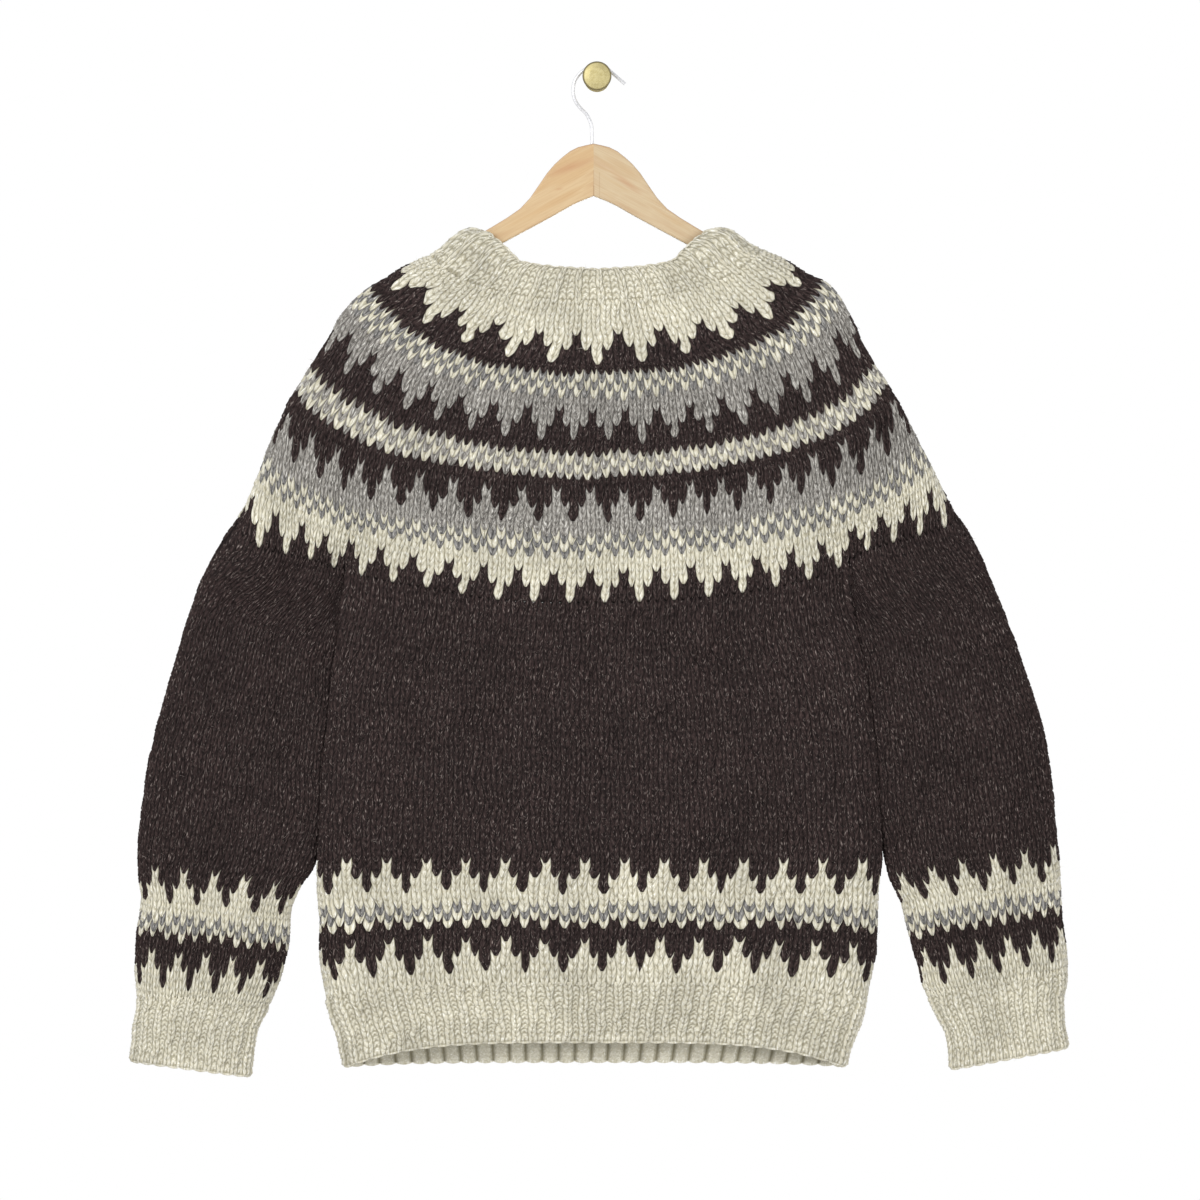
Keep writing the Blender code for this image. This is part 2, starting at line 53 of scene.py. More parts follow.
SEAM_DROP = 0.5
UNDERARM_DROP = 2.2
THICKNESS = 4.0
HANGER_Y = -42.0
LEAN_PER_MM = 0.013
LEAN_TOP_Z = -200.0
CAP = 20.0
FOLD_X = 227.0
FOLD_CAP = 25.0
FOLD_HALF_DEPTH = 8.5
FOLD_ROWS = 9.0
TIP_HALF_FLAT = 1.5
SLEEVE_SET_BACK = 3.0
SLEEVE_FIT_ROWS = 15.0
BODY_FIT_ROWS = 8.0
BODY_TOP_POWER = 2.3
BODY_HEM_POWER = 4.0
YOKE_BROAD_SHARE = 0.72
YOKE_BROAD_POWER = 2.3
YOKE_STEEP_POWER = 12.0
FINE_STEPS = 201

# A sleeve and the body press each other flat where they touch, and their wool meshes a little.
TOUCH_OVER = 3.6
TOUCH_HALF_FLAT = 8.0
TOUCH = (
    ("row", "share"),
    (0, 0),
    (5, 0.85),
    (32, 1),
    (38, 0.5),
    (42, 0),
)

YOKE_ROWS = 42
YOKE = (
    ("row", "mid_z", "left_x", "left_z", "right_x", "right_z", "depth"),
    (0, -205.3, -151, -161, 150, -156.5, 16),
    (5, -233.3, -169, -168.5, 171, -166, 16.5),
    (9, -257.8, -189, -180.8, 188, -177, 17),
    (11, -269, -205, -190, 206, -185, 17),
    (15.5, -298.5, -228, -213.2, 225.7, -213, 17.5),
    (20, -327.5, -245, -242, 241.5, -244, 18),
    (22, -340, -257.5, -261, 250, -260, 18),
    (25, -359.8, -271.5, -283, 261.5, -277.5, 18),
    (27, -373, -279.5, -300, 269, -290, 18),
    (31.5, -402.5, -293.3, -330, 284.8, -320.9, 18),
    (36, -431.5, -305, -361, 300.5, -352, 18),
    (42, -471.6, -323, -397, 321, -391, 18),
)
NECKBAND_ROWS = 8
NECKBAND_STITCH_ROWS = 6
NECKBAND = (
    ("row", "mid_z", "left_x", "left_z", "right_x", "right_z", "depth", "edge_share"),
    (0, -205, -151, -160.7, 150, -156.2, 16, 0),
    (3, -193.4, -140, -154, 140, -152.6, 16, 0.4),
    (5, -185.6, -129, -144.3, 129, -144.8, 16, 0.7),
    (7, -177.8, -115, -136.6, 114, -136.7, 16, 0.9),
    (8, -174, -106, -137.2, 104, -136.8, 15.5, 1),
)
NECK_EDGE = (
    ("across", "rise"),
    (0, 0),
    (0.33, 0.07),
    (0.655, 0.23),
    (0.77, 0.53),
    (0.95, 0.97),
    (1, 1),
)
BODY_ROWS = 53
TORSO_HEADING = ("row", "front_z", "back_z", "side_z", "left_x", "right_x", "depth")
BODY = (
    TORSO_HEADING,
    (0, -472.1, -472.1, -447, -226.8, 226.8, 18),
    (3.5, -494.6, -496, -472.1, -229, 228.4, 18.5),
    (9, -530.2, -533.7, -511.5, -234, 235.4, 19.5),
    (16, -575.5, -581.7, -561.7, -240.6, 244.2, 21),
    (28, -653.1, -664, -647.8, -247.4, 252.8, 22),
    (35, -698.4, -712, -698, -250, 255.6, 22),
    (39, -724.3, -739.4, -726.7, -251, 252, 22),
    (43, -750.2, -766.8, -755.3, -248.6, 251, 21.5),
    (48, -782.5, -801.1, -791.2, -248.2, 248.6, 21),
    (51, -802, -821.7, -812.7, -245, 244.6, 20.6),
    (53, -814.9, -835, -827, -241.8, 241.4, 20),
)
HEM_ROWS = 12
HEM_RIB = (
    TORSO_HEADING,
    (0, -815.3, -835.4, -827.4, -241.8, 241.4, 20),
    (2, -824, -844.4, -837.6, -239.5, 239.2, 19.5),
    (4, -832, -852, -847.6, -236.6, 235.6, 18.6),
    (8, -848.2, -867.6, -867.4, -230.5, 228.6, 17.5),
    (12, -864.4, -883.3, -887.4, -226.8, 223.2, 17),
)
SLEEVE_ROWS = 60
SLEEVE_HEADING = ("row", "outer_x", "outer_z", "inner_x", "inner_z", "depth")
SLEEVE_LEFT = (
    SLEEVE_HEADING,
    (0, -323, -397.5, -227.2, -449.1, 18),
    (4, -339.9, -423, -230, -472.5, 17),
    (9, -356.9, -457.3, -234.8, -505.2, 16.5),
    (15, -371, -501.2, -239.8, -544.5, 16),
    (22, -386.8, -552.7, -243.9, -590.5, 16),
    (29, -400.2, -604.9, -247.6, -636.8, 16),
    (36, -408.8, -658.1, -250.6, -683, 16),
    (40.5, -412, -692, -256, -711, 16),
    (43, -412.4, -711, -266, -727, 16),
    (47, -408.3, -738, -275.8, -751.7, 16),
    (51, -411.8, -765, -277.6, -778.5, 15.5),
    (55.5, -414.2, -795, -284.6, -808, 15),
    (58, -413.4, -815, -292, -826.3, 14.7),
    (60, -412.6, -826.6, -296.5, -835.6, 14.5),
)
SLEEVE_RIGHT = (
    SLEEVE_HEADING,
    (0, 321, -391.5, 227.2, -444.5, 18),
    (4, 337.6, -416.5, 229.8, -469.5, 17),
    (9, 352.5, -450.4, 235.4, -500.7, 16.5),
    (15, 369.5, -491.4, 242.3, -539, 16),
    (22, 386.6, -540.4, 248.1, -583.5, 16),
    (29, 400.9, -590.2, 252.4, -628, 16),
    (36, 409.6, -641.4, 256, -673, 16),
    (40.5, 412.8, -674.5, 258.4, -701, 16),
    (43, 414, -693, 262, -717, 16),
    (47, 415.3, -719.4, 273.2, -740.8, 16),
    (51, 416.2, -745.7, 279.3, -767.4, 15.5),
    (55.5, 421, -775.4, 287.6, -797, 15),
    (58, 422.2, -793, 293.2, -815.5, 14.7),
    (60, 421.6, -805, 298, -826, 14.5),
)
CUFF_ROWS = 13
CUFF_LEFT = (
    SLEEVE_HEADING,
    (0, -412.6, -827, -296.5, -836, 14.5),
    (2, -412.6, -835, -300.8, -845, 14.2),
    (4, -414, -843.5, -305.3, -853.7, 13.7),
    (8, -416.2, -860, -308.4, -871.5, 13),
    (13, -419, -882, -311, -896, 13),
)
CUFF_RIGHT = (
    SLEEVE_HEADING,
    (0, 421.6, -805.4, 298, -826.4, 14.5),
    (2, 421, -815.3, 302.2, -835.4, 14.2),
    (4, 418.4, -826, 307, -844.5, 13.7),
    (8, 418.8, -846, 314.6, -862.5, 13),
    (13, 423, -870, 317.4, -889.5, 13),
)


def lookup(table, name, at):
    """Value of a named column at a place in the first column, on a smooth curve without overshoot."""
    rows = table[1:]
    keys = [row[0] for row in rows]
    values = [row[table[0].index(name)] for row in rows]
    slopes = [(v1 - v0) / (k1 - k0) for k0, k1, v0, v1 in zip(keys, keys[1:], values, values[1:])]
    tangents = [slopes[0]]
    for before, after in zip(slopes, slopes[1:]):
        tangents.append(2 * before * after / (before + after) if before * after > 0 else 0.0)
    tangents.append(slopes[-1])
    i = min(max(sum(key <= at for key in keys) - 1, 0), len(keys) - 2)
    width = keys[i + 1] - keys[i]
    t = min(max((at - keys[i]) / width, 0.0), 1.0)
    start = (1 + 2 * t) * (1 - t) ** 2 * values[i] + t * (1 - t) ** 2 * width * tangents[i]
    end = t * t * (3 - 2 * t) * values[i + 1] - t * t * (1 - t) * width * tangents[i + 1]
    return start + end


def row_at(table, at):
    """Values of all a table's other columns at a place in the first."""
    return [lookup(table, name, at) for name in table[0][1:]]


def smooth(t):
    """From 0 to 1 on a soft curve that is level at both ends."""
    t = np.clip(t, 0, 1)
    return t * t * (3 - 2 * t)


def fading(row, rows):
    """1 at row 0, falling smoothly to 0 after the given number of rows."""
    return 1 - smooth(row / rows)


# Places from -1 to 1 across a face, closer together near both ends, and how far a ring has risen at
# each, from 0 in the middle to 1 at an end: along the yoke, and along the neck's edge.
ACROSS = np.sin(np.linspace(-math.pi / 2, math.pi / 2, FINE_STEPS))
OFF_MIDDLE = np.abs(ACROSS)
YOKE_STEEP_RISE = (1 - YOKE_BROAD_SHARE) * OFF_MIDDLE ** YOKE_STEEP_POWER
YOKE_RISE = YOKE_BROAD_SHARE * OFF_MIDDLE ** YOKE_BROAD_POWER + YOKE_STEEP_RISE
NECK_EDGE_RISE = np.array([lookup(NECK_EDGE, "rise", p) for p in OFF_MIDDLE])


def unit(vectors):
    return vectors / np.linalg.norm(vectors, axis=-1, keepdims=True)


def travelled(line):
    """Distance along a line of points to each of them."""
    return np.concatenate(([0.0], np.cumsum(np.linalg.norm(np.diff(line, axis=0), axis=1))))


def rounded(distance, cap, flat, valley, depth):
    """Half depth near an end: an ellipse over the cap, or a valley's soft slope, down to the flat."""
    q = np.clip(distance / cap, 0, 1)
    ellipse = np.sqrt(1 - (1 - q) ** 2)
    slope = (1 - np.cos(math.pi * q)) / 2
    return flat + (depth - flat) * (ellipse * (1 - valley) + slope * valley)


def tip_half(touch, fit):
    """Half depth at a tip: free, pressed flat by a touch, or fitted to the yoke's fold."""
    free = TIP_HALF_FLAT + (TOUCH_HALF_FLAT - TIP_HALF_FLAT) * touch
    return free + (FOLD_HALF_DEPTH - free) * fit


def mid_y(z):
    """The garment's middle plane: under the hanger, then leaning towards the wall."""
    return HANGER_Y + LEAN_PER_MM * np.maximum(LEAN_TOP_Z - z, 0)


def across_x(left_x, right_x):
    """ACROSS, stretched to reach from a left end to a right one."""
    return OFF_MIDDLE * np.where(ACROSS < 0, left_x, right_x)


def shoulder_line(table, row, rise):
    """A ring over both shoulders: its x and z, seen from the front, and its half depth."""
    mid_z, left_x, left_z, right_x, right_z, depth = row_at(table, row)[:6]
    ends = left_z + (right_z - left_z) * (ACROSS + 1) / 2
    sag = mid_z - (left_z + right_z) / 2
    return across_x(left_x, right_x), ends + sag * (1 - rise), depth


YOKE_EDGE_X, YOKE_EDGE_Z = shoulder_line(YOKE, YOKE_ROWS, YOKE_RISE)[:2]


def face_line(x, z, half, side, set_back=0.0):
    """Points across one face from left to right; side is -1 in front and 1 at the back."""
    return np.stack((x, mid_y(z) + set_back + side * half, z), axis=1)


def shoulder_faces(x, z, depth, valley_share):
    """Front and back of the neckband or yoke, with the two valleys that run to the underarms."""
    run = travelled(np.stack((x, z), axis=1))
    half = rounded(np.minimum(run, run[-1] - run), CAP, 0.0, 0.0, depth)
    left_fold = x[0] * FOLD_X / -YOKE_EDGE_X[0]
    right_fold = x[-1] * FOLD_X / YOKE_EDGE_X[-1]
    for fold in np.interp((left_fold, right_fold), x, run):
        near = np.clip(np.abs(run - fold) / FOLD_CAP, 0, 1)
        valley = (half - FOLD_HALF_DEPTH) * (1 + np.cos(math.pi * near)) / 2
        half = half - valley * valley_share
    return face_line(x, z, half, -1), face_line(x, z, half, 1)


def yoke_faces(row):
    line = shoulder_line(YOKE, row, YOKE_RISE)
    return shoulder_faces(*line, fading(YOKE_ROWS - row, FOLD_ROWS))


def neckband_faces(row):
    """Rows of stitches are counted down from the neck's edge here, and the table's rows up to it."""
    up = NECKBAND_ROWS - row * NECKBAND_ROWS / NECKBAND_STITCH_ROWS
    edge = lookup(NECKBAND, "edge_share", up)
    line = shoulder_line(NECKBAND, up, YOKE_RISE * (1 - edge) + NECK_EDGE_RISE * edge)
    return shoulder_faces(*line, 0.0)


def torso_face(table, row, side, fit):
    """A face of the body or hem rib; fit bends the first rows to the yoke's edge."""
    front_z, back_z, side_z, left_x, right_x, depth = row_at(table, row)
    x = across_x(left_x, right_x)
    power = BODY_TOP_POWER * fit + BODY_HEM_POWER * (1 - fit)
    mid_z = front_z if side < 0 else back_z
    z = mid_z + (side_z - mid_z) * OFF_MIDDLE ** power
    top_mid_z = lookup(BODY, "front_z", 0)
    top_z = top_mid_z + (lookup(BODY, "side_z", 0) - top_mid_z) * OFF_MIDDLE ** BODY_TOP_POWER
    edge = np.interp(x, YOKE_EDGE_X, YOKE_EDGE_Z) - SEAM_DROP
    edge[0] -= UNDERARM_DROP
    edge[-1] -= UNDERARM_DROP
    z = z + (edge - top_z) * fit
    run = travelled(np.stack((x, z), axis=1))
    tip = tip_half(lookup(TOUCH, "share", row) if table is BODY else 0.0, fit)
    half = rounded(np.minimum(run, run[-1] - run), FOLD_CAP, tip, fit, depth)
    return face_line(x, z, half, side)


def with_tips(front, back):
    """Both faces, carried on to the middle plane at each end."""
    left = (front[:1] + back[:1]) / 2
    right = (front[-1:] + back[-1:]) / 2
    return np.concatenate((left, front, right)), np.concatenate((left, back, right))


def body_faces(row):
    fit = fading(row, BODY_FIT_ROWS)
    return with_tips(torso_face(BODY, row, -1, fit), torso_face(BODY, row, 1, fit))


def hem_faces(row):
    return with_tips(torso_face(HEM_RIB, row, -1, 0.0), torso_face(HEM_RIB, row, 1, 0.0))


def sleeve_face(table, row, side, start_row):
    """A face from the outer edge to the inner one; it hangs just behind the body's edge."""
    at_yoke = fading(start_row + row, SLEEVE_FIT_ROWS)
    at_fold = fading(start_row + row, FOLD_ROWS)
    s = (ACROSS + 1) / 2
    outer_x, outer_z, inner_x, inner_z, depth = row_at(table, row)
    touch = lookup(TOUCH, "share", start_row + row)
    inner_x -= math.copysign(TOUCH_OVER * touch, inner_x)
    x = outer_x + (inner_x - outer_x) * s
    z = outer_z + (inner_z - outer_z) * s
    top_outer_x = YOKE_EDGE_X[0] if outer_x < 0 else YOKE_EDGE_X[-1]
    top_x = top_outer_x + (math.copysign(FOLD_X, outer_x) - top_outer_x) * s
    edge = np.interp(top_x, YOKE_EDGE_X, YOKE_EDGE_Z)
    z = z + (edge - (edge[0] + (edge[-1] - edge[0]) * s)) * at_yoke
    run = travelled(np.stack((x, z), axis=1))
    outer_half = rounded(run, CAP, 0.0, 0.0, depth)
    inner_half = rounded(run[-1] - run, FOLD_CAP, tip_half(touch, at_fold), at_fold, depth)
    return face_line(x, z, np.minimum(outer_half, inner_half), side, SLEEVE_SET_BACK * (1 - at_fold))


def sleeve_faces(table, row, start_row):
    front, back = with_tips(*(sleeve_face(table, row, side, start_row) for side in (-1, 1)))
    return (front, back) if front[0][0] < front[-1][0] else (front[::-1], back[::-1])


# ---- Where the stitches lie round each tube. A share of a tube's round runs from 0 at its left end
# over the front to 0.5 at its right end, and over the back to 1.

NECKBAND_STITCHES = 96
YOKE_TOP_STITCHES = 88
YOKE_MIDDLE_STITCHES = 144
YOKE_LOWER_STITCHES = 184
BODY_STITCHES = 120
HEM_STITCHES = 128
SLEEVE_STITCHES = 48
CUFF_STITCHES = 40
YOKE_MIDDLE_ROW = 10
YOKE_LOWER_ROW = 26
BODY_BAND_ROW = 36
SLEEVE_BAND_ROW = 43

YOKE_BAND_PLACES_ROW = 27.0
YOKE_BAND_PLACES = (
    ("stitch", "face", "x"),
    (3.5, "front", -279.5),
    (9.5, "front", -255),
    (21.5, "front", -187),
    (45.5, "front", -5.6),
    (69.5, "front", 167.6),
    (81.5, "front", 246),
    (87.5, "back", 269),
    (137.5, "back", 0),
    (187.5, "back", -279.5),
)
YOKE_EDGE_PLACES = (
    ("stitch", "face", "x"),
    (0, "front", -323),
    (3.5, "front", -303),
    (17, "front", -227),
    (23.5, "front", -183),
    (47.5, "front", 7),
    (71.5, "front", 190),
    (77, "front", 227),
    (91.5, "front", 312),
    (94, "back", 321),
    (109, "back", 227),
    (139, "back", 0),
    (169, "back", -227),
    (184, "back", -323),
)
STITCH_EVEN_ROWS = 12.0
TIP_CLEAR = 0.01


def share_at(faces, face, x):
    """Share of the round where a face crosses the given x."""
    line = faces[0] if face == "front" else faces[1]
    run = travelled(line)
    along = np.interp(x, line[:, 0], run) / run[-1] / 2
    return along if face == "front" else 1 - along


def places_curve(places, faces):
    """A table of stitch and share of the round, from one of stitch and x."""
    return (("stitch", "share"), *((s, share_at(faces, face, x)) for s, face, x in places[1:]))


YOKE_BAND_SHARES = places_curve(YOKE_BAND_PLACES, yoke_faces(YOKE_BAND_PLACES_ROW))
YOKE_EDGE_SHARES = places_curve(YOKE_EDGE_PLACES, yoke_faces(YOKE_ROWS))


def yoke_band_share(stitch):
    """The round at the lower yoke's first rows starts a few stitches on from its last row's."""
    first = YOKE_BAND_PLACES[1][0]
    turns = 0 if stitch >= first else 1
    return lookup(YOKE_BAND_SHARES, "share", stitch + turns * YOKE_LOWER_STITCHES) - turns


def yoke_edge_share(stitch):
    return lookup(YOKE_EDGE_SHARES, "share", stitch)


def yoke_lower_places(steps):
    """A function from row to the shares of the given stitch places."""
    first = np.array([yoke_band_share(s) for s in steps])
    last = np.array([yoke_edge_share(s) for s in steps])
    rows = YOKE_ROWS - YOKE_BAND_PLACES_ROW

    def at(row):
        t = min(max((row - YOKE_BAND_PLACES_ROW) / rows, 0.0), 1.0)
        return first * (1 - t) + last * t

    return at


def even_places(stitches, turn=0.0):
    def places(steps):
        return lambda row: (steps + turn) / stitches

    return places


def round_points(faces, shares):
    """Points at shares of the round."""
    shares = shares % 1.0
    points = np.empty((len(shares), 3))
    for line, chosen, along in (
        (faces[0], shares < 0.5, shares * 2),
        (faces[1], shares >= 0.5, 2 - shares * 2),
    ):
        run = travelled(line)
        for axis in range(3):
            points[chosen, axis] = np.interp(along[chosen] * run[-1], run, line[:, axis])
    return points


def fitted_places(stitches, faces, *runs):
    """Places that meet the yoke's stitches at row 0 and even out further down.

    A run is a face, how many places on the yoke's stitches lie, and the run's first and last stitch.
    """
    top = faces(0)
    known = {0: 0.0, stitches / 2: 0.5, stitches: 1.0}
    for face, places_on, first, last in runs:
        run = range(first, last + 1)
        shares = np.array([yoke_edge_share(stitch + places_on) for stitch in run])
        x = round_points(yoke_faces(YOKE_ROWS), shares)[:, 0]
        x = np.clip(x, top[0][0, 0] + TIP_CLEAR, top[0][-1, 0] - TIP_CLEAR)
        known.update(zip(run, share_at(top, face, x)))
    known = sorted(known.items())

    def places(steps):
        even = steps / stitches
        fitted = np.interp(steps, [k[0] for k in known], [k[1] for k in known])

        def at(row):
            fit = fading(row, STITCH_EVEN_ROWS)
            return fitted * fit + even * (1 - fit)

        return at

    return places


# ---- Creases and hand-made unevenness of the cloth.

CREASES = (
    ("face", "x0", "z0", "x1", "z1", "half_width", "depth"),
    ("front", -278, -560, -262, -690, 13, 3.2),
    ("front", -250, -455, -245, -560, 11, 4),
    ("front", 244, -450, 262, -560, 13, 5),
    ("front", 262, -540, 276, -700, 13, 3),
    ("front", -150, -560, -120, -700, 26, -1.2),
    ("front", 60, -540, 95, -690, 30, -1.2),
    ("front", -30, -600, -10, -760, 28, 1),
    ("front", 170, -520, 205, -620, 22, 1.4),
    ("front", -345, -520, -372, -640, 18, -1.4),
    ("front", 345, -520, 368, -650, 18, -1.2),
    ("back", -190, -500, -90, -640, 26, 2),
    ("back", 170, -490, 110, -650, 24, 2.2),
    ("back", -20, -430, 5, -600, 34, 1.6),
    ("back", -300, -560, -286, -690, 14, 2.2),
    ("back", 300, -550, 292, -700, 14, 2),
)
CREASE_END = 0.25


def crease(points, side):
    """How far the cloth moves out at each point, from the table of soft troughs and ridges."""
    x = points[..., 0]
    z = points[..., 2]
    moved = np.zeros(x.shape)
    for face, x0, z0, x1, z1, half_width, depth in CREASES[1:]:
        dx = x1 - x0
        dz = z1 - z0
        length = math.hypot(dx, dz)
        along = ((x - x0) * dx + (z - z0) * dz) / length**2
        off = np.abs((x - x0) * dz - (z - z0) * dx) / length
        ends = smooth(np.minimum(along, 1 - along) / CREASE_END + 0.5)
        shape = np.exp(-((off / half_width) ** 2)) * ends
        moved -= depth * shape * (side < 0 if face == "front" else side > 0)
    return moved


# The folds at the underarms pull the lower yoke's rows up, and the ends of the shoulders drop.
RIDE_UP = (
    ("x", "up"),
    (-323, -8),
    (-305, -6.5),
    (-280, 2),
    (-254, 6.5),
    (-218, 5),
    (-151, 5),
    (-90, 0.5),
    (0, 0),
    (70, 0),
    (190, 2),
    (220, 6.5),
    (238, 14),
    (259, 13.5),
    (286, 8),
    (321, -8),
)
RIDE_UP_REACH = 75.0
RIDE_UP_PLACES = range(-330, 331, 2)
RIDE_UP_THERE = [lookup(RIDE_UP, "up", x) for x in RIDE_UP_PLACES]
NOISE_MARGIN = 2


def ride_up(points):
    """How far up the front's stitches ride, most along the yoke's lower edge."""
    x = points[..., 0]
    z = points[..., 2]
    edge = np.interp(x, YOKE_EDGE_X, YOKE_EDGE_Z)
    near = smooth(1 - np.abs(z - edge) / RIDE_UP_REACH)
    in_front = points[..., 1] < mid_y(z)
    return np.interp(x, RIDE_UP_PLACES, RIDE_UP_THERE) * near * in_front


def soft_noise(rng, rows, stitches, at_rows, at_stitches, cell):
    """Smooth noise over a tube, wrapped round it, with a new value every cell of stitches or rows."""
    around = max(int(round(stitches / cell)), 3)
    down = int(math.ceil(rows / cell)) + 2 * NOISE_MARGIN
    knots = rng.standard_normal((down, around))
    v = at_rows / cell + NOISE_MARGIN
    u = (at_stitches / stitches * around) % around
    v0 = np.floor(v).astype(int)
    u0 = np.floor(u).astype(int) % around
    fv = smooth(v - v0)
    fu = smooth(u - np.floor(u))
    u1 = (u0 + 1) % around
    upper = knots[v0, u0] * (1 - fu) + knots[v0, u1] * fu
    lower = knots[v0 + 1, u0] * (1 - fu) + knots[v0 + 1, u1] * fu
    return upper * (1 - fv) + lower * fv


# ---- Charts. A letter is a stitch: cream, brown, light gray or medium gray. Stitch 0 of a repeat is the
# one at the tip of a point. Rows run downwards.

YARNS = "cblm"
PLAIN_CREAM = ((200, "c"),)
YOKE_TOP_CHART = ((5, "c"), (2, "ccbc"), (2, "cbbb"), (1, "b"))
YOKE_MIDDLE_CHART = (
    (1, "b"),
    (1, "cmcm"),
    (1, "mcmc"),
    (1, "cmcm"),
    (2, "l"),
    (2, "llbl"),
    (2, "lbbb"),
    (2, "b"),
    (1, "clcl"),
    (1, "lclc"),
    (1, "clcl"),
    (1, "b"),
)
YOKE_LOWER_CHART = (
    (1, "b"),
    (2, "lbbb"),
    (2, "llbl"),
    (2, "l"),
    (1, "cmcm"),
    (1, "mcmc"),
    (1, "cmcm"),
    (2, "c"),
    (2, "bccc"),
    (2, "bbcb"),
)
BAND_CHART = (
    (2, "cbbb"),
    (2, "ccbc"),
    (2, "c"),
    (1, "cmcm"),
    (1, "mcmc"),
    (1, "cbcb"),
    (2, "b"),
    (2, "cbbb"),
    (2, "ccbc"),
    (2, "c"),
)
PLAIN_BROWN = ((200, "b"),)
SLEEVE_CHART = ((SLEEVE_BAND_ROW, "b"), *BAND_CHART)


def chart_yarns(chart, rows, stitches, tip):
    """Yarn number of every stitch, in rows down the chart; tip is a stitch at the tip of a point."""
    lines = [line for count, line in chart for _ in range(count)][:rows]
    return np.array([[YARNS.index(line[(s - tip) % len(line)]) for s in range(stitches)] for line in lines])


# ---- Knitted tubes.

# A stitch has a column of points on each edge, on its centre, and two in each leg. A column's lean is
# how far its rows lie above the stitch's point, in rows, and the rest is its relief at the top of
# the row and at a third and two thirds of the way down, from 0 in a hole to 1 on a crest. The legs
# are plumpest at their feet, which lie over the stitch below.
STITCH_COLUMNS = 6
ROW_LINES = 3
STITCH_HEADING = ("column", "lean", "top", "upper", "lower")
KNIT_STITCH = (
    STITCH_HEADING,
    ("edge", 0.90, 0.10, 0.14, 0.05),
    ("outer", 0.47, 0.42, 0.90, 0.80),
    ("inner", 0.05, 0.28, 0.80, 1.00),
    ("centre", 0.00, 0.09, 0.14, 0.17),
)
PURL_STITCH = (
    STITCH_HEADING,
    ("edge", 0.90, 0.05, 0.08, 0.14),
    ("outer", 0.80, 0.26, 0.30, 0.74),
    ("inner", 0.92, 0.16, 0.68, 0.50),
    ("centre", 0.98, 0.08, 0.84, 0.24),
)
COLUMN_KINDS = (0, 1, 2, 3, 2, 1)
CREST = 1.2
VALLEY = 1.7

# A rib's level is even over the middle of its knit stitches and falls off beyond, both as shares of
# their width. The narrower a rib's stitches, the closer its yarns lie and the shallower its relief.
RIB_HEIGHT = 1.3
RIB_EVEN = 0.2
RIB_FALL = 0.6
RIB_SPREAD = 0.07
RIB_FULL_WIDTH = 8.4

# Unevenness: of the yarn's plumpness, of the cloth's swell, and of where the stitches lie.
LOOSE_ROWS = 1.5
PLUMP_CELL = 1.0
PLUMP_VARIES = 0.14
SWELL_CELL = 5.0
SWELL = 0.4
WANDER = (
    ("cell", "across", "down"),
    (1.0, 0.09, 0.13),
    (3.5, 0.11, 0.16),
)

TUCK_DEPTH = 2.0
TUCK_ROWS = 1.6
BLEND_ROWS = 2.0
FORM_STEP = 0.5
FORM_ROWS_ABOVE = 2.0
FORM_ROWS_BELOW = 1.0

EDGE_STEPS = np.radians((25, 55, 90, 125, 155))
EDGE_LOFT = 0.6
EDGE_ROW = 0.1
EDGE_LOBE_LEAST = 0.4
EDGE_LOBE = 0.85
EDGE_LOBE_POWER = 0.6
INSIDE_STEP = 4.0
# Lofts inside the cloth set how much shade is painted there: the lower, the darker.
INSIDE_LOFT = 0.5
INSIDE_RIB = 0.9
INSIDE_GROOVE = 0.2
INSIDE_BUMP = 0.5
INSIDE_BUMP_ARCH = 0.25
INSIDE_BUMP_POWER = 0.7
INSIDE_RIB_LOFT = 0.34
INSIDE_BUMP_LOFT = 0.24

BAKE_MARGIN = 0.01
HALF_STITCH = 4.0
ROW_HEIGHT = 6.6
STRAND_SHIFT = 40.0
STITCH_TONE = 0.6
ROW_TONE = 0.4
WELD = 0.000001


def stitch_columns(stitches, rib):
    """Kind of every column of a tube, and whether it lies in a knit stitch."""
    column = np.arange(stitches * STITCH_COLUMNS + 1)
    kind = np.array(COLUMN_KINDS)[column % STITCH_COLUMNS]
    stitch = column // STITCH_COLUMNS % stitches
    knit = np.ones(len(column), bool) if rib is None else stitch % sum(rib) < rib[0]
    return kind, knit


def stitch_values(name, kind, knit):
    """A named value of every column."""
    place = KNIT_STITCH[0].index(name)
    of_knit = np.array([row[place] for row in KNIT_STITCH[1:]])[kind]
    of_purl = np.array([row[place] for row in PURL_STITCH[1:]])[kind]
    return np.where(knit, of_knit, of_purl)


def from_knit(u, rib):
    """Stitches from the middle of a rib's nearest knit stitches."""
    width = sum(rib)
    return np.abs((u - rib[0] / 2 + width / 2) % width - width / 2)


def sample(form, name, at_rows):
    """Values of a form field at a row for each column."""
    field = form[name]
    index = (at_rows - form["first"]) / FORM_STEP
    low = np.clip(np.floor(index).astype(int), 0, len(field) - 2)
    part = (index - low)[..., None]
    columns = np.arange(field.shape[1])[None, :]
    return field[low, columns] * (1 - part) + field[low + 1, columns] * part


